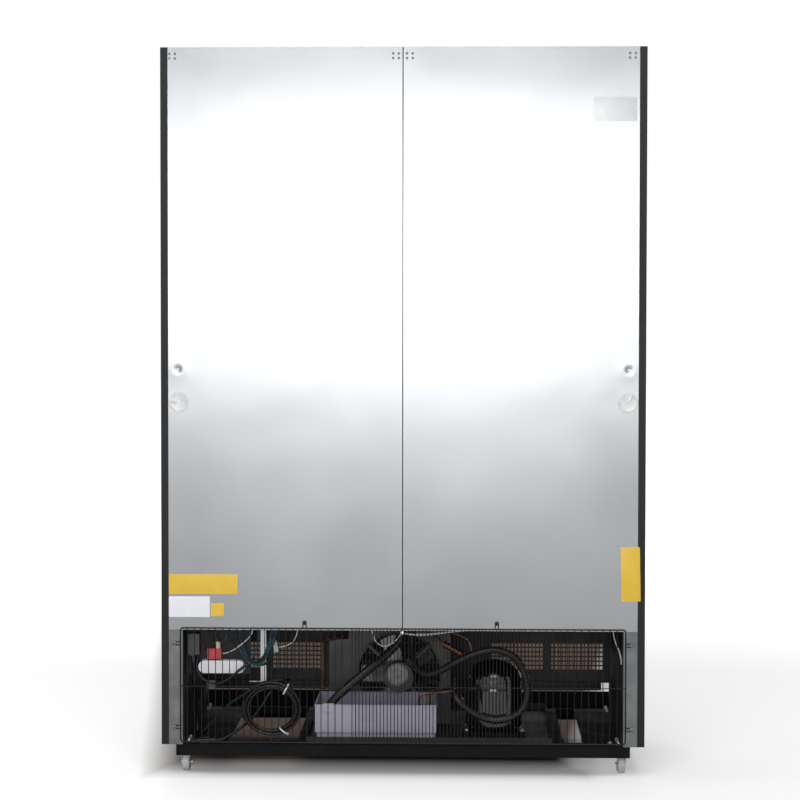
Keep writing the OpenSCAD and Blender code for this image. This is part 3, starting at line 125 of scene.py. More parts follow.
def piece(name, bm, material):
    """Turns a bmesh into a smooth-shaded piece with its finish."""
    mesh = bpy.data.meshes.new(name)
    bm.to_mesh(mesh)
    bm.free()
    for face in mesh.polygons:
        face.use_smooth = True
    mesh.materials.append(material)
    return place(bpy.data.objects.new(name, mesh))


def sharpen(mesh_object, degrees=35):
    """Keeps crisp edges where a smooth-shaded piece turns sharply."""
    mesh = mesh_object.data
    bm = bmesh.new()
    bm.from_mesh(mesh)
    for edge in bm.edges:
        edge.smooth = edge.is_manifold and edge.calc_face_angle(0) < math.radians(degrees)
    bm.to_mesh(mesh)
    bm.free()


print("rear skin", round(REAR_Y, 4), "base top", round(BASE_TOP, 4))

# %% [markdown]
# ## How a finish is written
#
# A finish could be painted by hand or photographed. A node tree is lighter
# and has no pixels, so every finish here is one: a Principled shader whose
# colour, roughness and relief come from noise in the object's own space.
#
# `linear` turns a web colour into the linear light that Blender mixes, and
# `add` adds one node with its settings and its links. `finish` starts a
# material from its common parts: two tones that drift into each other over
# `drift` millimetres, a roughness that drifts with them, and a relief of
# `grain` millimetres.

# %% Helpers for finishes
def linear(code):
    """Linear colour from a web colour such as 8a8d90."""
    parts = [int(code[i:i + 2], 16) / 255 for i in (0, 2, 4)]
    return [p / 12.92 if p <= 0.04045 else ((p + 0.055) / 1.055) ** 2.4 for p in parts] + [1]


def add(tree, kind, inputs=None, **settings):
    """Adds one node; an input is a value or the socket that feeds it."""
    node = tree.nodes.new("ShaderNode" + kind)
    for name, value in settings.items():
        setattr(node, name, value)
    for name, value in (inputs or {}).items():
        if isinstance(value, bpy.types.NodeSocket):
            tree.links.new(value, node.inputs[name])
        else:
            node.inputs[name].default_value = value
    return node


MIX_A, MIX_B, MIX_OUT = 6, 7, 2


def finish(name, tones, rough=(0.4, 0.5), drift=60, grain=1.0, depth=0.02, **shader):
    """A material with two drifting tones, drifting roughness and a relief."""
    made = bpy.data.materials.new(name)
    made.use_nodes = True
    tree = made.node_tree
    surface = tree.nodes["Principled BSDF"]
    place_in = add(tree, "TexCoord").outputs["Object"]
    clouds = add(tree, "TexNoise", {"Vector": place_in, "Scale": 1000 / drift, "Detail": 4.0})
    spread = add(tree, "MapRange", {"Value": clouds.outputs["Fac"], "From Min": 0.35,
                                    "From Max": 0.65})
    tone = add(tree, "Mix", {0: spread.outputs[0], MIX_A: linear(tones[0]),
                             MIX_B: linear(tones[1])}, data_type="RGBA")
    matt = add(tree, "MapRange", {"Value": spread.outputs[0], "To Min": rough[0],
                                  "To Max": rough[1]})
    fine = add(tree, "TexNoise", {"Vector": place_in, "Scale": 1000 / grain, "Detail": 2.0})
    relief = add(tree, "Bump", {"Height": fine.outputs["Fac"], "Distance": depth * MM,
                                "Strength": 1.0})
    tree.links.new(tone.outputs[MIX_OUT], surface.inputs["Base Color"])
    tree.links.new(matt.outputs[0], surface.inputs["Roughness"])
    tree.links.new(relief.outputs[0], surface.inputs["Normal"])
    for socket, value in shader.items():
        surface.inputs[socket.replace("_", " ")].default_value = value
    made.diffuse_color = linear(tones[0])
    return made


def dress(material, *names):
    """Gives CAD nodes their finish."""
    for name in names:
        mesh = nodes[name].data
        mesh.materials.clear()
        mesh.materials.append(material)


print("finish helpers ready")

# %% [markdown]
# ## The power cord
#
# A cord is a soft tube of one diameter that keeps its length. It leaves the
# tapered gland of the terminal box, drops to the base, climbs into a coil of
# four turns that two ties hold against the guard, crosses the coil again and
# ends in its plug on the base. It could be simulated, but the photograph
# shows where each strand lies, so one curve follows a given route. The
# sheath is matt black PVC: nearly no relief, with a broad dull shine.

# %% The cord's route
def through(points, steps):
    """A smooth line through given points."""
    line = []
    for i in range(len(points) - 1):
        a, b = points[max(i - 1, 0)], points[i]
        c, d = points[i + 1], points[min(i + 2, len(points) - 1)]
        for k in range(steps):
            t = k / steps
            line.append(0.5 * (2 * b + (c - a) * t + (2 * a - 5 * b + 4 * c - d) * t * t
                               + (3 * b - a - 3 * c + d) * t * t * t))
    return line + [points[-1]]


CORD_D = 8.5
COIL = {"aside": 252, "up": 101, "inward": 6.5, "r": 86, "squash": 0.9, "step": 10.8,
        "layer": 11.2, "turns": 1.83, "climb": 0.5, "start": 137}
COIL_RINGS = 24
COIL_RUN = 10
COIL_TOTAL = 2 * COIL["turns"] + COIL["climb"]


def coil_point(turn):
    """A point of the coil after so many turns: in by one layer, out by the next."""
    inner, climb = COIL["turns"], COIL["climb"]
    wound = turn if turn < inner else inner if turn < inner + climb else COIL_TOTAL - turn
    r = COIL["r"] - COIL["step"] * wound
    deep = COIL["layer"] * min(1, max(0, (turn - inner) / climb))
    angle = math.radians(COIL["start"] - 360 * turn)
    return bay(COIL["aside"] + r * math.cos(angle), COIL["inward"] + deep,
               COIL["up"] + COIL["squash"] * r * math.sin(angle))


last_ring = math.floor(COIL_RINGS * COIL_TOTAL)
coil_in = (coil_point(1 / COIL_RINGS) - coil_point(0)).normalized()
coil_out = (coil_point(last_ring / COIL_RINGS)
            - coil_point((last_ring - 1) / COIL_RINGS)).normalized()
coil_entry = coil_point(0) - CORD_D * MM * coil_in
coil_exit = coil_point(last_ring / COIL_RINGS) + CORD_D * MM * coil_out
lead = [(23, 57, 226), (23, 57, 212), (23, 59, 192), (23, 66, 169), (24, 78, 146),
        (25, 92, 122), (26, 104, 98), (27, 112, 72), (28, 114, 47), (28, 110.5, 28),
        (29, 99, 13), (29, 82, 5.6), (30.5, 66, 5.6), (34.5, 53, 9.7), (42, 43, 18),
        (52, 37, 28.5), (63, 33, 40), (77, 28.5, 56.5), (91, 24, 73), (105, 20, 88),
        (120, 15.5, 103.5), (136, 11, 118), (151, 8, 128)]
tail = [(284, 22.5, 182), (296.5, 35, 181), (301, 52, 178), (296.5, 69, 174),
        (284, 81, 168), (268, 86, 160), (254.5, 87, 150), (243, 86, 137),
        (232.5, 82.5, 121), (222.5, 78, 104.5), (211, 71.5, 88), (198, 65, 72),
        (183, 57.5, 55.5), (166, 48, 42.5), (148, 38, 31), (131, 30, 21), (116, 23.5, 13),
        (105, 20.3, 9.7), (94.2, 20, 9.3)]
cord_route = [bay(*p) for p in lead]
cord_route += [coil_entry - k * COIL_RUN * MM * coil_in for k in (2, 1, 0)]
cord_route += [coil_point(k / COIL_RINGS) for k in range(last_ring + 1)]
cord_route += [coil_exit, coil_exit + COIL_RUN * MM * coil_out]
cord_route += [bay(*p) for p in tail]
cord_line = through(cord_route, 4)

# %% Draw the cord
def strand(name, line, diameter, material, round_steps=3):
    """A round flexible line as one open spline."""
    curve = bpy.data.curves.new(name, "CURVE")
    curve.dimensions = "3D"
    curve.bevel_depth = diameter * MM / 2
    curve.bevel_resolution = round_steps
    curve.use_fill_caps = True
    spline = curve.splines.new("POLY")
    spline.points.add(len(line) - 1)
    for point, place_on in zip(spline.points, line):
        point.co = (*place_on, 1)
    spline.use_smooth = True
    curve.materials.append(material)
    return place(bpy.data.objects.new(name, curve))


# Soft PVC: black, with a dull sheen that varies where it was handled
pvc_black = finish("pvc_sheath_black", ("060607", "0b0b0c"), rough=(0.24, 0.34), drift=25,
                   grain=0.8, depth=0.01, Specular_IOR_Level=0.22)
cord = strand("power_cord_line", cord_line, CORD_D, pvc_black, round_steps=4)
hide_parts("power_cord", "power_cord_coil")
dress(pvc_black, "plug")

# %% [markdown]
# ## Painted and plated sheet
#
# Side panels, door frames and the canopy are folded steel with a satin
# black powder coat. Its fine orange peel breaks the highlight into a soft
# sheen. The base is dipped in a duller black. The liner is steel with a smooth
# white enamel, the corner posts are bare galvanised strip, and the compartment
# is lined with dark coated sheet.

# %% Sheet finishes
powder_black = finish("powder_coat_satin_black", ("08080a", "0b0b0d"), rough=(0.45, 0.49),
                      drift=140, grain=2.0, depth=0.03, IOR=1.5, Specular_IOR_Level=0.22)
white_enamel = finish("enamel_on_steel_white", ("e6e9ea", "eceeef"), rough=(0.22, 0.3),
                      drift=260, grain=3.0, depth=0.01, IOR=1.5)
post_strip = finish("galvanised_strip_grey", ("545658", "626465"), rough=(0.34, 0.44),
                    drift=45, grain=2.5, depth=0.02, Metallic=0.85)
dark_sheet = finish("coated_sheet_dark", ("121315", "191a1c"), rough=(0.48, 0.62),
                    drift=90, grain=2.5, depth=0.03, IOR=1.5, Specular_IOR_Level=0.25)
kick_sheet = finish("coated_sheet_punched", ("101012", "161719"), rough=(0.42, 0.55),
                    drift=70, grain=2.0, depth=0.02, IOR=1.5, Specular_IOR_Level=0.3)
zinc = finish("bright_zinc_plate", ("b9bbbd", "d2d4d5"), rough=(0.24, 0.36), drift=18,
              grain=1.0, depth=0.01, Metallic=1.0)
mill_aluminium = finish("mill_finish_aluminium", ("a8abae", "c3c6c8"), rough=(0.3, 0.42),
                        drift=25, grain=1.4, depth=0.02, Metallic=1.0)
dress(powder_black, "side_panel_left", "side_panel_right", "canopy_housing",
      "door_surround", "door_frame_left", "door_frame_right", "top_panel")
base_coat = finish("dip_coated_steel_black", ("020203", "050506"), rough=(0.6, 0.75), drift=70,
                   grain=1.6, depth=0.04, Specular_IOR_Level=0.12)
dress(base_coat, "base_frame")
dress(white_enamel, "inner_liner")
dress(post_strip, "rear_corner_posts")
dress(dark_sheet, "compartment_lining", "unit_tray")
dress(kick_sheet, "kick_plate")
dress(zinc, "hinge_brackets", "castor_plates", "rear_screws")
dress(mill_aluminium, "evaporator_coil", "evaporator_fan", "condenser_fan")
print("sheet finishes ready")

# %% [markdown]
# ## Plastics, rubber and glass
#
# The cold side is moulded in white ABS, which has a low broad gloss. Its
# colour is written as a mid lavender grey, painted shade on the white plastic.
# The fan shroud is black and so is its motor, and feet, gaskets and hoses are
# rubber or soft PVC. The doors hold clear float glass with a faint green body,
# and the lit pieces, the canopy and the strips, sit behind opal acrylic.

# %% Plastic, rubber and glass finishes
# White ABS darkened to a mid lavender grey: painted shade on the white plastic.
white_abs_painted_shade = finish("abs_white_painted_shade", ("8a8999", "9392a2"), rough=(0.34, 0.44),
                   drift=120, grain=1.6, depth=0.02, IOR=1.54)
black_abs = finish("abs_moulded_black", ("121214", "19191c"), rough=(0.4, 0.55),
                   drift=60, grain=1.2, depth=0.03, IOR=1.54)
opal_acrylic = finish("opal_acrylic_sheet", ("eceeed", "f4f5f4"), rough=(0.16, 0.22),
                      drift=300, grain=4.0, depth=0.003, IOR=1.49)
rubber = finish("epdm_rubber_black", ("040405", "080809"), rough=(0.3, 0.42), drift=20,
                grain=0.9, depth=0.04, Specular_IOR_Level=0.3)
gasket_pvc = finish("soft_pvc_gasket_grey", ("6f7274", "7c7f81"), rough=(0.5, 0.62),
                    drift=40, grain=1.5, depth=0.02)
gloss_enamel = finish("enamel_gloss_black", ("050506", "08080a"), rough=(0.08, 0.16),
                      drift=50, grain=5.0, depth=0.03, IOR=1.52, Coat_Weight=0.6,
                      Coat_Roughness=0.06)
fin_paint = finish("painted_fins_dark", ("1b1c1e", "26282a"), rough=(0.45, 0.6),
                   drift=30, grain=1.2, depth=0.02)
white_coating = finish("epoxy_coated_wire_white", ("dfe1e2", "e8eaea"), rough=(0.28, 0.38),
                       drift=40, grain=1.5, depth=0.02, IOR=1.5)
black_coating = finish("epoxy_coated_wire_black", ("0a0a0b", "101012"), rough=(0.36, 0.48),
                       drift=12, grain=1.0, depth=0.02, IOR=1.5, Specular_IOR_Level=0.22)
nylon_grey = finish("nylon_tyre_grey", ("b8bbbc", "c8cacb"), rough=(0.4, 0.55), drift=12,
                    grain=0.8, depth=0.03, IOR=1.53)
foam = finish("rigid_polyurethane_foam", ("d9c48f", "e6d5a4"), rough=(0.85, 0.95), drift=9,
              grain=1.4, depth=0.3)
copper = finish("drawn_copper", ("5d4234", "7d5846"), rough=(0.3, 0.44), drift=14, grain=0.8,
                depth=0.02, Metallic=1.0)
glass = finish("float_glass_clear", ("f0f6f3", "f4f8f6"), rough=(0.0, 0.01), drift=400,
               grain=60.0, depth=0.0, IOR=1.52, Transmission_Weight=1.0)
dress(white_abs_painted_shade, "evaporator_cover", "evaporation_box")
dress(black_abs, "fan_shroud", "fan_motor", "controller", "light_switch")
dress(opal_acrylic, "canopy_lens", "led_strips")
dress(rubber, "compressor_mounts", "suction_line", "drain_hose")
dress(gasket_pvc, "door_gasket_left", "door_gasket_right")
dress(gloss_enamel, "compressor")
dress(fin_paint, "condenser")
dress(white_coating, "wire_shelves", "shelf_uprights")
dress(black_coating, "rear_guard")
dress(foam, "insulation")
dress(copper, "refrigerant_pipes")
dress(glass, "door_glass_left", "door_glass_right")
for corner in ("front_left", "front_right", "rear_left", "rear_right"):
    dress(nylon_grey, "castor_wheel_" + corner)
    dress(zinc, "castor_fork_" + corner)
dress(zinc, "castor_brake_left", "castor_brake_right")
dress(white_abs_painted_shade, "foam_caps")
dress(zinc, "back_panel_left", "back_panel_right")
print("dressed nodes:", sum(len(n.data.materials) == 1 for n in nodes.values()))

# %% [markdown]
# ## The back sheets
#
# Two thin sheets of galvanised steel close the insulated back. The foam
# behind them pulls them into very shallow waves, which only show in the
# mirrored light. The waves could be painted as a bump, but then the outline
# of the sheet would stay dead flat from the side, so each sheet is a fine
# grid whose inner points move outwards by up to a millimetre. It fades to
# flat at its edges, at the wire guard and round the two filled holes. A dark
# strip in the seam between the two is painted shade of the narrow gap.

# %% A rippled sheet
SHEET_T = 1.2
SEAM_W = 3.2
WAVE_UP, WAVE_LENGTH = 0.9, 230.0
FLAT_EDGE, GUARD_LAP, GUARD_EDGE = 150, 34, 200
CAP_FLAT, CAP_EDGE = 40, 60
DISH_W, DISH_UP, PIT_W, PIT_DOWN = 30, 0.55, 9, 1.45
CAP_X, CAP_Z = 0.632, sum(corner.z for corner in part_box("foam_caps")) / 2
SCREW_X, SCREW_Z = 0.637, CAP_Z + 0.092


def ripple(x, z, low, high):
    """Outward bulge in metres of a sheet between two corners."""
    edge = min((x - low.x) / MM / FLAT_EDGE, (high.x - x) / MM / FLAT_EDGE,
               (high.z - z) / MM / FLAT_EDGE,
               max(0, (z - low.z) / MM - GUARD_LAP) / GUARD_EDGE, 1)
    edge = max(0, edge) ** 2 * (3 - 2 * max(0, edge))
    hole = min(1, max(0, (abs(z - CAP_Z) / MM - CAP_FLAT) / CAP_EDGE
                      + (abs(abs(x) - CAP_X) / MM) / CAP_EDGE))
    spot = Vector((x, 0.0, z * 0.8)) / (WAVE_LENGTH * MM)
    wave = 0.5 + 0.5 * noise.noise(spot) + 0.18 * noise.noise(spot * 2.7)
    bulge = edge * min(1, hole) * max(0, wave) * WAVE_UP
    away = math.hypot(abs(x) - SCREW_X, z - SCREW_Z) / MM
    raised = math.exp(-(away / DISH_W) ** 2) * DISH_UP
    pressed = math.exp(-(away / PIT_W) ** 2) * PIT_DOWN
    return (bulge + raised - pressed) * MM


# Zinc in its satin state: an even grey that mirrors only broad shapes
spangle = finish("galvanised_sheet_satin", ("828486", "87898b"), rough=(0.23, 0.27),
                 drift=420, grain=2.2, depth=0.012, Metallic=0.92)
COLUMNS, ROWS, FINE, FINE_REACH = 56, 124, 24, 0.036


def ladder(low, high, spot, steps):
    """Grid lines between two ends, close together round a spot."""
    start, end = max(low, spot - FINE_REACH), min(high, spot + FINE_REACH)
    below = round((steps - FINE) * (start - low) / (high - low - (end - start)))
    above = steps - FINE - below
    return ([low + (start - low) * k / below for k in range(below)]
            + [start + (end - start) * k / FINE for k in range(FINE)]
            + [end + (high - end) * k / max(1, above) for k in range(above + 1)])


def back_sheet(side):
    low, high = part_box("back_panel_" + side)
    bm = bmesh.new()
    columns = ladder(low.x, high.x, math.copysign(SCREW_X, low.x + high.x), COLUMNS)
    rows = ladder(low.z, high.z, SCREW_Z, ROWS)
    bmesh.ops.create_grid(bm, x_segments=COLUMNS, y_segments=ROWS, size=0.5)
    for v in bm.verts:
        x = columns[round((v.co.x + 0.5) * COLUMNS)]
        z = rows[round((v.co.y + 0.5) * ROWS)]
        x = math.copysign(max(abs(x), SEAM_W / 2 * MM), x)
        v.co = (x, high.y + ripple(x, z, low, high), z)
    bmesh.ops.recalc_face_normals(bm, faces=bm.faces)
    if sum(f.normal.y for f in bm.faces) < 0:
        bmesh.ops.reverse_faces(bm, faces=bm.faces)
    sheet = piece("back_sheet_" + side, bm, spangle)
    sharpen(sheet)
    body = sheet.modifiers.new("sheet thickness", "SOLIDIFY")
    body.thickness, body.offset = SHEET_T * MM, -1
    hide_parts("back_panel_" + side)
    return sheet


sheets = [back_sheet(side) for side in ("left", "right")]
# A dark strip behind the gap between the sheets: painted shade of the seam.
seam_shade = finish("seam_gap_painted_shade", ("1b1c1d", "262728"), rough=(0.6, 0.8), drift=40,
                grain=1.5, depth=0.05)
bm = bmesh.new()
bmesh.ops.create_cube(bm, size=MM)
sheet_low, sheet_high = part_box("back_panel_left")
bmesh.ops.scale(bm, verts=bm.verts, vec=(SEAM_W + 1, 0.8, (sheet_high.z - sheet_low.z) / MM))
bmesh.ops.bevel(bm, geom=bm.edges, offset=0.2 * MM, affect="EDGES", segments=2, profile=0.5,
                material=-1)
bmesh.ops.translate(bm, verts=bm.verts,
                    vec=(0, REAR_Y - 0.7 * MM, (sheet_high.z + sheet_low.z) / 2))
piece("sheet_seam_painted_shade", bm, seam_shade)
print("sheets of", len(sheets[0].data.polygons), "quads")

# %% [markdown]
# ## Clinch points, filled holes and sheet screws
#
# At the top each sheet is clinched to the rim by two groups of four pressed
# points, a few millimetres across. They are small cups, spun from a half
# profile. Lower down, a round hole on either side was used to fill the walls
# with foam and is closed by a soft dished cap of clear film, and a cross-head
# screw sits in a pulled dish above it.

# %% Spun pieces
def spun(name, profile, centre, axis, material, steps=32):
    """Spins (radius, height) in millimetres about an axis through a place."""
    bm = bmesh.new()
    rim = [bm.verts.new((r * MM, 0, h * MM)) for r, h in profile]
    edges = [bm.edges.new(pair) for pair in zip(rim, rim[1:])]
    bmesh.ops.spin(bm, geom=rim + edges, cent=(0, 0, 0), axis=(0, 0, 1), steps=steps,
                   angle=math.tau, use_merge=True)
    bmesh.ops.remove_doubles(bm, verts=bm.verts, dist=1e-6)
    bmesh.ops.recalc_face_normals(bm, faces=bm.faces)
    turn = Vector(axis).to_track_quat("Z", "Y").to_matrix().to_4x4()
    bmesh.ops.transform(bm, verts=bm.verts, matrix=Matrix.Translation(centre) @ turn)
    return piece(name, bm, material)


REARWARDS = (0, 1, 0)
# A darker grey than the sheet: on the clinch points it is painted shade of the pressed cups; the
# side screws of the guard wear it too.
shade_grey_galvanised = finish("galvanised_grey_and_painted_shade", ("5c5e60", "6c6e70"), rough=(0.4, 0.5),
                      drift=6, grain=0.8, depth=0.02, Metallic=0.9)
CUP = [(0, 0.25), (1.5, 0.3), (2.2, 0.9), (2.9, 1.0), (3.4, 0.5), (3.7, -0.4), (0, -0.4)]
clinches = 0
for group_x in (651, 20, -19, -644):
    for dx in (-8, 8):
        for dz in (-6.5, 6.5):
            clinches += 1
            spun(f"clinch_point_{clinches:02d}", CUP,
                 ((group_x + dx) * MM, REAR_Y, (2043 + dz) * MM), REARWARDS, shade_grey_galvanised,
                 steps=20)
print("clinch points:", clinches)

# %% [markdown]
# ## Caps and screws
#
# A cap starts as a spun disc with a raised rim. It was pushed in by thumb, so
# the middle is dished and one crease runs out to the edge. The crease is a
# move of the disc's own points along its normal. The film is clear with a
# grey cast, and reads as pale plastic on the foam. A cross recess on a screw
# is not cut: two dark bars in the crown of the head are its painted shade.

# %% Caps of the filling holes
clear_film = finish("polyethylene_film_milky", ("b9bbbb", "c9cbcb"), rough=(0.16, 0.3),
                    drift=14, grain=2.0, depth=0.05, IOR=1.51)


def creased_cap(name, centre, degrees):
    """A dished disc with one crease that runs out to its rim."""
    profile = [(0, 0.5), (4, 0.45), (8, 0.55), (12, 0.8), (16, 0.7), (20, 0.95),
               (23, 1.35), (25.5, 1.5), (27, 1.1), (27.4, 0.1)]
    cap = spun(name, profile, (0, 0, 0), (0, 0, 1), clear_film, steps=72)
    out = Vector((math.cos(math.radians(degrees)), math.sin(math.radians(degrees)), 0))
    for v in cap.data.vertices:
        along = v.co.dot(out) / MM
        off = abs(v.co.dot(Vector((-out.y, out.x, 0)))) / MM
        if along > -4 and v.co.length < 26 * MM and v.co.z > 0.2 * MM:
            v.co.z += math.exp(-(off / 3.2) ** 2) * min(1, (along + 4) / 8) * 0.8 * MM
    facing = Matrix.Rotation(math.radians(-90), 4, "X")
    cap.data.transform(Matrix.Translation(centre) @ facing)
    return cap


caps = [creased_cap(f"filling_hole_cap_{side}", (x, REAR_Y, CAP_Z), degrees)
        for side, x, degrees in (("right", 0.634, -8), ("left", -0.634, 238))]
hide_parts("foam_caps")
print("caps:", len(caps))

# %% Screws with crowned heads
# Painted shade of a screw's cross recess: dark bars stand where the recess would be.
recess_painted_shade = finish("screw_recess_painted_shade", ("26282a", "33363a"), rough=(0.5, 0.6), drift=4,
                     grain=0.6, depth=0.02, Metallic=0.8)
HEAD = [(0, 2.2), (1.2, 2.15), (2.4, 1.85), (3.4, 1.25), (3.9, 0.6), (4.0, 0), (0, 0)]
WASHER = [(0, 0.9), (5.6, 0.9), (5.95, 0.6), (6.0, 0), (0, 0)]
screws = 0


def block(name, size, centre, material, rounding=0.5, segments=3, turn=None):
    """A box in millimetres with rounded edges, turned about its own centre."""
    bm = bmesh.new()
    bmesh.ops.create_cube(bm, size=MM)
    bmesh.ops.scale(bm, verts=bm.verts, vec=size)
    bmesh.ops.bevel(bm, geom=bm.edges, offset=rounding * MM, affect="EDGES",
                    segments=segments, profile=0.5, material=-1)
    if turn:
        bmesh.ops.rotate(bm, verts=bm.verts, cent=(0, 0, 0),
                         matrix=Matrix.Rotation(math.radians(turn[0]), 3, turn[1]))
    bmesh.ops.translate(bm, verts=bm.verts, vec=centre)
    made = piece(name, bm, material)
    sharpen(made)
    return made


black_zinc = finish("black_zinc_plate", ("1e1f21", "2a2b2d"), rough=(0.3, 0.42), drift=10,
                    grain=0.8, depth=0.02, Metallic=0.9)


def pan_screw(centre, tilt, washer=True, plating=zinc):
    """A crowned cross-head screw on a washer, seen from the rear."""
    global screws
    screws += 1
    x, y, z = centre
    seat = 0.9 * MM if washer else 0
    if washer:
        spun(f"screw_washer_{screws:02d}", WASHER, centre, REARWARDS, plating)
    head = spun(f"screw_head_{screws:02d}", HEAD, (x, y + seat, z), REARWARDS, plating)
    # Two dark bars in the crown: painted shade of the cross recess.
    for turn in (tilt, tilt + 90):
        block(f"screw_slot_{screws:02d}_{turn}", (3.6, 0.5, 0.75), (x, y + seat + 2.0 * MM, z),
              recess_painted_shade, rounding=0.12, segments=1, turn=(turn, "Y"))
    return head


SCREW_DEPTH = 3.2
LOOP_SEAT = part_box("rear_screws")[1].y - SCREW_DEPTH * MM
SIDE_LOOPS = [(s * 649, z) for s in (-1, 1) for z in (143, 382)]
TOP_LOOPS = [(-267, 442.5), (278, 442.5)]
first_screw = None
for i, (x, z) in enumerate(SIDE_LOOPS + TOP_LOOPS):
    made = pan_screw((x * MM, LOOP_SEAT, z * MM), 17 + 31 * i,
                     plating=shade_grey_galvanised if (x, z) in SIDE_LOOPS else black_zinc)
    first_screw = first_screw or made
for x in (-637, 637):
    pan_screw((x * MM, REAR_Y - 0.9 * MM, SCREW_Z), 40 + x // 20, washer=False)
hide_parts("rear_screws")
print("screws:", screws)

# %% [markdown]
# ## Bare plates
#
# Data plates and notices are adhesive film and foil. Their places, sizes and
# colours follow the object, and their faces stay bare. Each is a thin slab
# with rounded corners and a raised bead where the film is cut. The foil is
# satin silver, the yellow is a laminated vinyl and the white one is paper
# under a clear film.

# %% Film and foil finishes
yellow_vinyl = finish("vinyl_film_yellow", ("cda720", "d2ac26"), rough=(0.28, 0.38), drift=30,
                      grain=1.2, depth=0.01, IOR=1.52)
white_film = finish("paper_label_laminated", ("d6d7de", "dadbe1"), rough=(0.3, 0.42),
                    drift=24, grain=1.0, depth=0.012, IOR=1.5)
silver_foil = finish("foil_label_satin", ("a2a4a5", "abadae"), rough=(0.3, 0.4), drift=20,
                     grain=1.0, depth=0.012, Metallic=0.35)


def plate(name, x_range, z_range, material, tilt=0):
    """A thin film with rounded corners on the rear skin."""
    wide, high = x_range[1] - x_range[0], z_range[1] - z_range[0]
    bm = bmesh.new()
    bmesh.ops.create_cube(bm, size=MM)
    bmesh.ops.scale(bm, verts=bm.verts, vec=(wide, 0.5, high))
    corners = [e for e in bm.edges if abs(e.verts[0].co.y - e.verts[1].co.y) > 0.1 * MM]
    bmesh.ops.bevel(bm, geom=corners, offset=2.5 * MM, affect="EDGES", segments=5,
                    profile=0.5, material=-1)
    face = [f for f in bm.faces if f.normal.y > 0.9]
    bmesh.ops.inset_region(bm, faces=face, thickness=1.0 * MM, depth=0.12 * MM)
    bmesh.ops.rotate(bm, verts=bm.verts, cent=(0, 0, 0),
                     matrix=Matrix.Rotation(math.radians(tilt), 3, "Y"))
    centre = Vector((sum(x_range) / 2 * MM, REAR_Y + 0.75 * MM, sum(z_range) / 2 * MM))
    bmesh.ops.translate(bm, verts=bm.verts, vec=centre)
    made = piece(name, bm, material)
    sharpen(made, 25)
    return made


plate("bare_plate_silver", (-656, -532.7), (1859, 1927), silver_foil)
plate("bare_plate_yellow_wide", (468, 663.4), (523, 579), yellow_vinyl)
plate("bare_plate_white", (547, 663.4), (457, 516), white_film)
plate("bare_plate_yellow_small", (507, 544), (460, 497), yellow_vinyl)
plate("bare_plate_yellow_tall", (-671, -617), (507, 661), yellow_vinyl, tilt=1.2)
print("bare plates: 5")

# %% [markdown]
# ## Electrics
#
# On a dark bracket in the +X corner sit a white lamp driver with round ends,
# a red relay with its cream start capacitor, and a black terminal box, from
# whose tapered gland the mains cord leaves. The solids already have these
# forms, so they stay, and each face takes the finish of the part that it
# belongs to by its place. A pale strap hangs beside them.

# %% Finishes by place
def dress_parts(name, rest, *picks):
    """Gives a node several finishes; a pick is (material, test of a place in mm)."""
    mesh = nodes[name].data
    mesh.materials.clear()
    mesh.materials.append(rest)
    for slot_number, (material, here) in enumerate(picks, 1):
        mesh.materials.append(material)
        for face in mesh.polygons:
            if here(*(face.center / MM)):
                face.material_index = slot_number


white_pc = finish("polycarbonate_white", ("c4c5cb", "cdced3"), rough=(0.35, 0.45), drift=40,
                  grain=1.2, depth=0.02, IOR=1.58)
red_pbt = finish("pbt_moulded_red", ("960f10", "a81615"), rough=(0.3, 0.42), drift=20,
                 grain=1.0, depth=0.03, IOR=1.57)
cream_film = finish("shrink_film_cream", ("c2b796", "cfc4a5"), rough=(0.3, 0.42), drift=15,
                    grain=1.2, depth=0.02, IOR=1.5)
strap_plate = finish("passivated_strip_pale", ("9fa1a6", "b6b8bc"), rough=(0.35, 0.5), drift=22,
                     grain=1.4, depth=0.03, Metallic=0.5)
dress_parts("control_bracket", dark_sheet, (strap_plate, lambda x, y, z: x < 442 and y > 0))
dress_parts("control_modules", white_pc,
            (red_pbt, lambda x, y, z: 515 < x < 566 and 328 < z < 359.6),
            (cream_film, lambda x, y, z: 515 < x < 566 and z >= 359.6),
            (black_abs, lambda x, y, z: x > 580.5 and z > 312 and not (z < 326 and x < 587)))
print("slots:", [len(nodes[n].data.materials) for n in ("control_bracket", "control_modules")])

# %% [markdown]
# ## Wires
#
# Single wires are PVC in teal, white and brown, about three millimetres
# thick, and a heavier black cable loops under the driver. Each is a curve
# along a few listed points between the two parts that it joins, smoothed
# by the same spline as the cord. They are fixed wiring inside the machine, so
# they stand for the loom's solid.

# %% Wire colours
def wire_pvc(name, tones):
    return finish("pvc_wire_" + name, tones, rough=(0.3, 0.42), drift=12, grain=0.7,
                  depth=0.01, Specular_IOR_Level=0.25)


TEAL = wire_pvc("teal", ("123c48", "1c5160"))
WHITE = wire_pvc("white", ("b9babd", "c8c9cc"))
BROWN = wire_pvc("brown", ("3a2118", "4a2c20"))
BLACK = wire_pvc("black", ("050506", "09090a"))

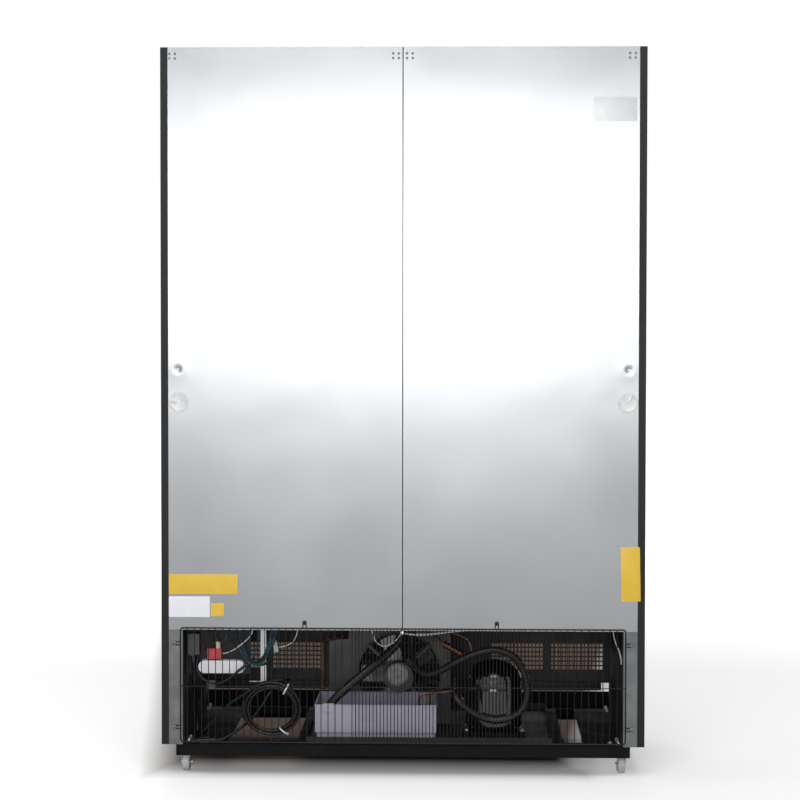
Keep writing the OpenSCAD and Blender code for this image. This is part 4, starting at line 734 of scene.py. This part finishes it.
# %% Wires of the electrics
cable = strand("black_cable", through([bay(*p) for p in [
    (37, 54, 249.7), (37, 54, 246), (37, 54, 242), (34.5, 49, 224), (35, 43.5, 206),
    (47, 39, 187), (67, 36, 173), (89, 34, 168), (113, 33, 174), (136, 34, 188),
    (158, 37, 207), (180, 41, 222), (202, 44, 226), (222, 46, 221), (238, 48, 228),
    (246, 50, 248), (249, 52, 274), (249, 52, 300), (249, 52, 318.8), (249, 52, 326.5)]], 4),
    7.5, BLACK)
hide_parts("wire_loom")
WIRES = [
    (TEAL, 4, [(173.4, 62, 214), (182, 62, 214), (189, 59, 224), (199, 52, 250),
               (209, 47, 284), (213, 50, 306), (212, 52, 320.8), (212, 52, 326.5)]),
    (WHITE, 3.2, [(104.3, 62, 251), (109, 62, 251), (114, 62, 251), (125, 58, 255),
                  (145, 46, 266), (173, 42, 288), (191, 46, 308), (195, 48, 326.5)]),
    (BROWN, 4, [(79, 62, 266.3), (79, 61, 278), (76, 54, 298), (75, 52, 326.5)]),
    (WHITE, 3.4, [(321, 70, 326.5), (321, 70, 310), (309, 68, 284), (285, 64, 272),
                  (259, 61, 270), (233.3, 59, 274)]),
    (BROWN, 4, [(43.3, 56, 286), (47.5, 56, 286), (52, 55, 282), (54, 54, 272),
                (54, 54, 262), (56, 57, 253), (59.5, 58, 250), (63.7, 58, 250)]),
]
for k in range(7):
    dip, near = 4.5 * (k % 3), 3.2 * (k // 2)
    WIRES.append((TEAL if k % 3 else BLACK, 3.0,
                  [(246 + 3.6 * k, 47 - near, 326.5), (243 + 3.4 * k, 46 - near, 300),
                   (236 + 2.6 * k, 42 - near, 274), (228 + 1.4 * k, 40 - near, 252 - dip),
                   (214 + 0.8 * k, 39 - near, 234 - dip), (199, 42 - near, 232 - dip),
                   (187 - 1.5 * k, 48 - near, 240 - dip), (176 - 3 * k, 52 - near, 258),
                   (168 - 5 * k, 54, 292), (166 - 6 * k, 54, 326.5)]))
for k, (start, lean) in enumerate([(66, 6), (92, -8), (118, 10), (138, -6)]):
    WIRES.append((TEAL if k == 1 else BLACK, 3.0,
                  [(start, 50, 326.5), (start + lean / 2, 47, 308), (start + lean / 2 + 5, 45, 292),
                   (start + 14, 45, 284), (start + 23, 47, 291), (start + 29, 50, 308),
                   (start + 31, 52, 326.5)]))
for number, (colour, thick, points) in enumerate(WIRES, 1):
    strand(f"wire_{number:02d}", through([bay(*p) for p in points], 5), thick, colour,
           round_steps=2)
print("wires:", len(WIRES))

# %% Wires of the evaporator side and a connector
LEFT_WIRES = [
    (3.6, [(-600, 60, 326.5), (-601, 60, 308), (-608, 56, 284), (-617, 50, 262),
           (-621.5, 46, 240), (-621.5, 44, 228)]),
    (3.0, [(88, 26, 326.5), (84, 26, 310), (76, 28, 292), (62, 30, 281), (44, 30, 280),
           (24, 28, 292), (9, 18, 310), (3, 9, 320)]),
    (3.0, [(2, 8, 321), (-18, 11, 317), (-60, 15, 316), (-104, 18, 319), (-150, 20, 323),
           (-188, 24, 326.5)]),
    (2.4, [(2, 10, 320), (-30, 15, 313), (-72, 19, 313), (-120, 22, 319), (-160, 25, 326.5)]),
]
for number, (thick, points) in enumerate(LEFT_WIRES, 1):
    strand(f"wire_bay_{number}", through([at(*p) for p in points], 5), thick, WHITE,
           round_steps=2)
block("inline_connector", (13, 9, 44), bay(258, 58, 278), finish(
    "nylon_connector_natural", ("9aa09a", "b0b5ae"), rough=(0.35, 0.5), drift=10, grain=1.0,
    depth=0.03, IOR=1.53), rounding=1.6, turn=(13, "Y"))
spun("wire_clamp_bright", [(0, 3.4), (3, 3.2), (5.6, 2.2), (6.6, 0.6), (6.6, -1.5), (0, -1.5)],
     at(1.5, 4.5, 321), REARWARDS, zinc, steps=28)
print("connector and clamp placed")

# %% [markdown]
# ## Ties
#
# The terminal box ends in a tapered gland that guides the cord downwards. Two
# nylon ties hold the coil to bars of the guard: a tie is a narrow band with a
# square head and a cut tail. Each is an oval ring round the cord's strands
# with its head on the outside.

# %% Ties
tie_nylon = finish("nylon_tie_natural", ("b9bcc2", "caccd1"), rough=(0.3, 0.42), drift=8,
                   grain=0.8, depth=0.02, IOR=1.53)


def cable_tie(name, across, up, turn, reach=(34, 27), tail=16):
    """A band round a bundle; `turn` is the bundle's direction in degrees."""
    bm = bmesh.new()
    wide, thick = 3.6, 1.1
    start = bmesh.ops.create_grid(bm, x_segments=1, y_segments=1, size=0.5 * MM)["verts"]
    bmesh.ops.scale(bm, verts=start, vec=(thick, wide, 1))
    bmesh.ops.translate(bm, verts=start, vec=(reach[0] / 2 * MM, 0, 0))
    bmesh.ops.spin(bm, geom=bm.verts[:] + bm.edges[:] + bm.faces[:], cent=(0, 0, 0),
                   axis=(0, 1, 0), steps=36, angle=math.tau, use_merge=True)
    bmesh.ops.remove_doubles(bm, verts=bm.verts, dist=1e-6)
    bmesh.ops.scale(bm, verts=bm.verts, vec=(1, 1, reach[1] / reach[0]))
    for size, shift in (((6.5, 5.5, 4.5), (0, 0, reach[1] / 2 + 1.5)),
                        ((1.0, 3.2, tail), (1.2, 0, reach[1] / 2 + tail / 2))):
        made = bmesh.ops.create_cube(bm, size=MM)["verts"]
        bmesh.ops.scale(bm, verts=made, vec=size)
        bmesh.ops.translate(bm, verts=made, vec=[s * MM for s in shift])
        bmesh.ops.bevel(bm, geom=list({e for v in made for e in v.link_edges}),
                        offset=0.3 * MM, affect="EDGES", segments=2, profile=0.5, material=-1)
    bmesh.ops.recalc_face_normals(bm, faces=bm.faces)
    bmesh.ops.rotate(bm, verts=bm.verts, cent=(0, 0, 0), matrix=Matrix.Rotation(
        math.radians(90), 3, "X"))
    bmesh.ops.rotate(bm, verts=bm.verts, cent=(0, 0, 0), matrix=Matrix.Rotation(
        math.radians(turn), 3, "Y"))
    bmesh.ops.translate(bm, verts=bm.verts, vec=Vector((across * MM, REAR_Y - 9 * MM, up * MM)))
    made = piece(name, bm, tie_nylon)
    sharpen(made)
    return made


cable_tie("cord_tie_upper", 331.7, 251, 62)
cable_tie("cord_tie_lower", 337.5, 132, -38)
print("ties: 2")

# %% [markdown]
# ## Details of the cooling unit
#
# The fan motor wears a pale ribbed cap over its bearing. The compressor's
# terminal cover is held by a bright spring clip of three zinc bars, which also
# stand in for the highlights on the cover's ribs, partly a painted highlight.
# The compressor's feet stand on rubber with a bolt and washer each. A dark
# baffle hangs behind the lip of the kick plate and leaves a narrow slot for
# air. These are thin or small, and each is spun or bevelled from a simple
# start.

# %% Motor cap, clip with painted highlight, and baffle
grey_pp = finish("polypropylene_pale_grey", ("8b8d90", "9a9c9f"), rough=(0.34, 0.46),
                 drift=16, grain=1.0, depth=0.03, IOR=1.49)
MOTOR_X, CAP_RAISE, RIB_REACH = 0.022, 0.008, 0.0205
motor_low, motor_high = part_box("fan_motor")
motor_z = (motor_low.z + motor_high.z) / 2
spun("fan_motor_cap", [(0, 5.5), (9, 5.5), (10, 4.2), (13, 4.2), (14, 5.4), (24, 4.8),
                       (30, 3.2), (33, 0.6), (33.5, -2), (0, -2)],
     (MOTOR_X, motor_high.y, motor_z + CAP_RAISE), REARWARDS, grey_pp, steps=56)
for k in range(8):
    angle = math.tau * k / 8
    block(f"fan_motor_cap_rib_{k}", (11, 2.2, 1.6),
          (MOTOR_X + RIB_REACH * math.cos(angle), motor_high.y + 0.005,
           motor_z + CAP_RAISE - RIB_REACH * math.sin(angle)),
          grey_pp, rounding=0.5, turn=(math.degrees(angle), "Y"))
TERMINAL_X, TERMINAL_UP = -0.262, 60
comp_low, comp_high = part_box("compressor")
# Three bright zinc bars: a spring clip that also stands in for the highlights on the cover's ribs,
# partly a painted highlight.
for k, (up, wide) in enumerate(((52, 34), (36, 22), (22, 16))):
    block(f"terminal_clip_and_highlight_{k}", (wide, 1.6, 2.0),
          (TERMINAL_X, comp_high.y - 1.7 * MM, comp_low.z + (TERMINAL_UP + up) * MM), zinc,
          rounding=0.6)
kick_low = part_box("kick_plate")[0]
block("kick_baffle", (1200, 1.0, 28), (0, kick_low.y + 6 * MM, kick_low.z - 11 * MM),
      kick_sheet, rounding=0.3)
print("motor cap at", round(motor_z, 3))

# %% Bolts of the compressor feet and the base
BOLT = [(0, 5.6), (3.2, 5.6), (4.6, 5.0), (5.2, 4.4), (5.2, 1.2), (8.2, 1.2), (8.6, 0.8),
        (8.6, 0), (0, 0)]
UPWARDS = (0, 0, 1)
feet_low, feet_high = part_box("compressor_mounts")
count = 0
for x in (feet_low.x + 0.012, feet_high.x - 0.012):
    for y in (feet_low.y + 0.012, feet_high.y - 0.012):
        count += 1
        spun(f"mount_bolt_{count}", BOLT, (x, y, feet_high.z + 2.4 * MM), UPWARDS, zinc,
             steps=24)
for s in (-1, 1):
    for x, y in ((617, 316), (591, 316)):
        count += 1
        spun(f"castor_nut_{count}", BOLT, (s * x * MM, y * MM, BASE_TOP + 1.5 * MM), UPWARDS,
             zinc, steps=24)
print("bolts and nuts:", count)

# %% [markdown]
# ## Floor, backdrop and light
#
# A product like this is photographed in front of a white sweep, with one wide
# softbox behind the camera and weak fill from all sides. The softbox hangs
# a little above the lens, so the satin back sheets mirror it in their upper
# half and fall off to grey at their foot. Only its mirror image tells that
# story: the colour of the sheets is even.
#
# The floor is a pale matt sheet. The world shows white to the camera and to
# mirrors, and lights everything else at a plain level. The glow that keeps
# the far floor white would wash out the shadow that the cabinet throws
# forwards, so it fades inside a painted shadow of that shape, which widens
# with the distance. Inside it the paper's colour is also painted a dark
# brownish grey, as painted shadow.

# %% Floor and world
def light_path(tree):
    """One for rays that see the background: camera, glossy and transmission."""
    rays = add(tree, "LightPath").outputs
    both = add(tree, "Math", {0: rays["Is Camera Ray"], 1: rays["Is Glossy Ray"]},
               operation="MAXIMUM")
    return add(tree, "Math", {0: both.outputs[0], 1: rays["Is Transmission Ray"]},
               operation="MAXIMUM").outputs[0]


GLOW_NEAR, GLOW_FAR = 0.34, 0.85
GLOW_STARTS, GLOW_ENDS = 4.6, 8.0
# The painted shadow on the floor: its offset and widening, then where its sides, front and rear
# fade out, in metres.
SHADOW_SPREAD, SHADOW_SHIFT = 0.12, 0.1
SHADOW_SIDE, SHADOW_FRONT, SHADOW_REAR = (0.56, 0.70), (-3.3, -4.0), (0.1, 0.4)
bm = bmesh.new()
bmesh.ops.create_grid(bm, x_segments=1, y_segments=1, size=30)
paper = finish("matt_white_paper_with_painted_shadow", ("e6e6e5", "eaeae9"), rough=(0.85, 0.95), drift=900,
               grain=3.0, depth=0.01, Specular_IOR_Level=0.1)
spot = add(paper.node_tree, "TexCoord").outputs["Object"]
behind = add(paper.node_tree, "VectorMath", {0: spot, 1: (0, 3, 0)}, operation="DISTANCE")
reach = add(paper.node_tree, "MapRange", {"Value": behind.outputs["Value"],
                                          "From Min": GLOW_STARTS, "From Max": GLOW_ENDS,
                                          "To Min": GLOW_NEAR, "To Max": GLOW_FAR})
axes = add(paper.node_tree, "SeparateXYZ", {0: spot}).outputs
shifted = add(paper.node_tree, "Math", {0: axes["X"], 1: SHADOW_SHIFT}, operation="SUBTRACT")
aside = add(paper.node_tree, "Math", {0: shifted.outputs[0]}, operation="ABSOLUTE").outputs[0]
spread = add(paper.node_tree, "Math", {0: axes["Y"], 1: SHADOW_SPREAD, 2: aside},
             operation="MULTIPLY_ADD").outputs[0]
past_side, past_front, past_rear = (
    add(paper.node_tree, "MapRange", {"Value": value, "From Min": start,
                                      "From Max": end}).outputs[0]
    for value, (start, end) in ((spread, SHADOW_SIDE), (axes["Y"], SHADOW_FRONT),
                                (axes["Y"], SHADOW_REAR)))
past_end = add(paper.node_tree, "Math", {0: past_front, 1: past_rear}, operation="MAXIMUM")
lit = add(paper.node_tree, "Math", {0: past_side, 1: past_end.outputs[0]},
          operation="MAXIMUM").outputs[0]
sent = add(paper.node_tree, "Math", {0: light_path(paper.node_tree), 1: reach.outputs[0]},
           operation="MULTIPLY").outputs[0]
glow = add(paper.node_tree, "Math", {0: sent, 1: lit}, operation="MULTIPLY")
# Painted shadow: where lit is zero the floor's colour is a dark brownish grey instead of white.
shade = add(paper.node_tree, "Mix", {0: lit, MIX_A: linear("5a4b40"), MIX_B: linear("e8e8e7")},
            data_type="RGBA").outputs[MIX_OUT]
surface = paper.node_tree.nodes["Principled BSDF"]
surface.inputs["Emission Color"].default_value = linear("ffffff")
paper.node_tree.links.new(glow.outputs[0], surface.inputs["Emission Strength"])
paper.node_tree.links.new(shade, surface.inputs["Base Color"])
floor_mesh = bpy.data.meshes.new("studio_floor")
bm.to_mesh(floor_mesh)
bm.free()
floor_mesh.materials.append(paper)
floor = bpy.data.objects.new("studio_floor", floor_mesh)
bpy.context.scene.collection.objects.link(floor)

WORLD_FILL = 0.28
world = bpy.data.worlds.new("white_studio")
bpy.context.scene.world = world
world.use_nodes = True
tree = world.node_tree
strength = add(tree, "MapRange", {"Value": light_path(tree), "To Min": WORLD_FILL,
                                  "To Max": 1.0})
tree.nodes["Background"].inputs["Color"].default_value = linear("ffffff")
tree.links.new(strength.outputs[0], tree.nodes["Background"].inputs["Strength"])
print("world fill", WORLD_FILL)

# %% Lamps
def softbox(name, place_at, look_at, wide, high, watts):
    """A rectangular lamp that looks at a point and hides from the camera."""
    lamp = bpy.data.lights.new(name, "AREA")
    lamp.shape = "RECTANGLE"
    lamp.size, lamp.size_y, lamp.energy = wide, high, watts
    lit = bpy.data.objects.new(name, lamp)
    bpy.context.scene.collection.objects.link(lit)
    ahead = (Vector(look_at) - Vector(place_at)).normalized()
    turn = ahead.to_track_quat("-Z", "Y").to_matrix().to_4x4()
    lit.matrix_world = Matrix.Translation(place_at) @ turn
    lit.visible_camera = False
    return lit


softbox("rear_softbox", (0.2, 7.4, 1.71), (0.1, 0.4, 1.5), 3.6, 1.6, 162)
softbox("overhead_softbox", (0, 4.6, 5.2), (0, 0.2, 0.8), 4.0, 2.4, 190)
softbox("front_softbox", (0.8, -4.6, 4.6), (0, -0.3, 1.2), 4.5, 1.6, 110)
softbox("side_fill", (5.0, 0.5, 3.4), (0, 0, 1.2), 3.0, 2.0, 50)
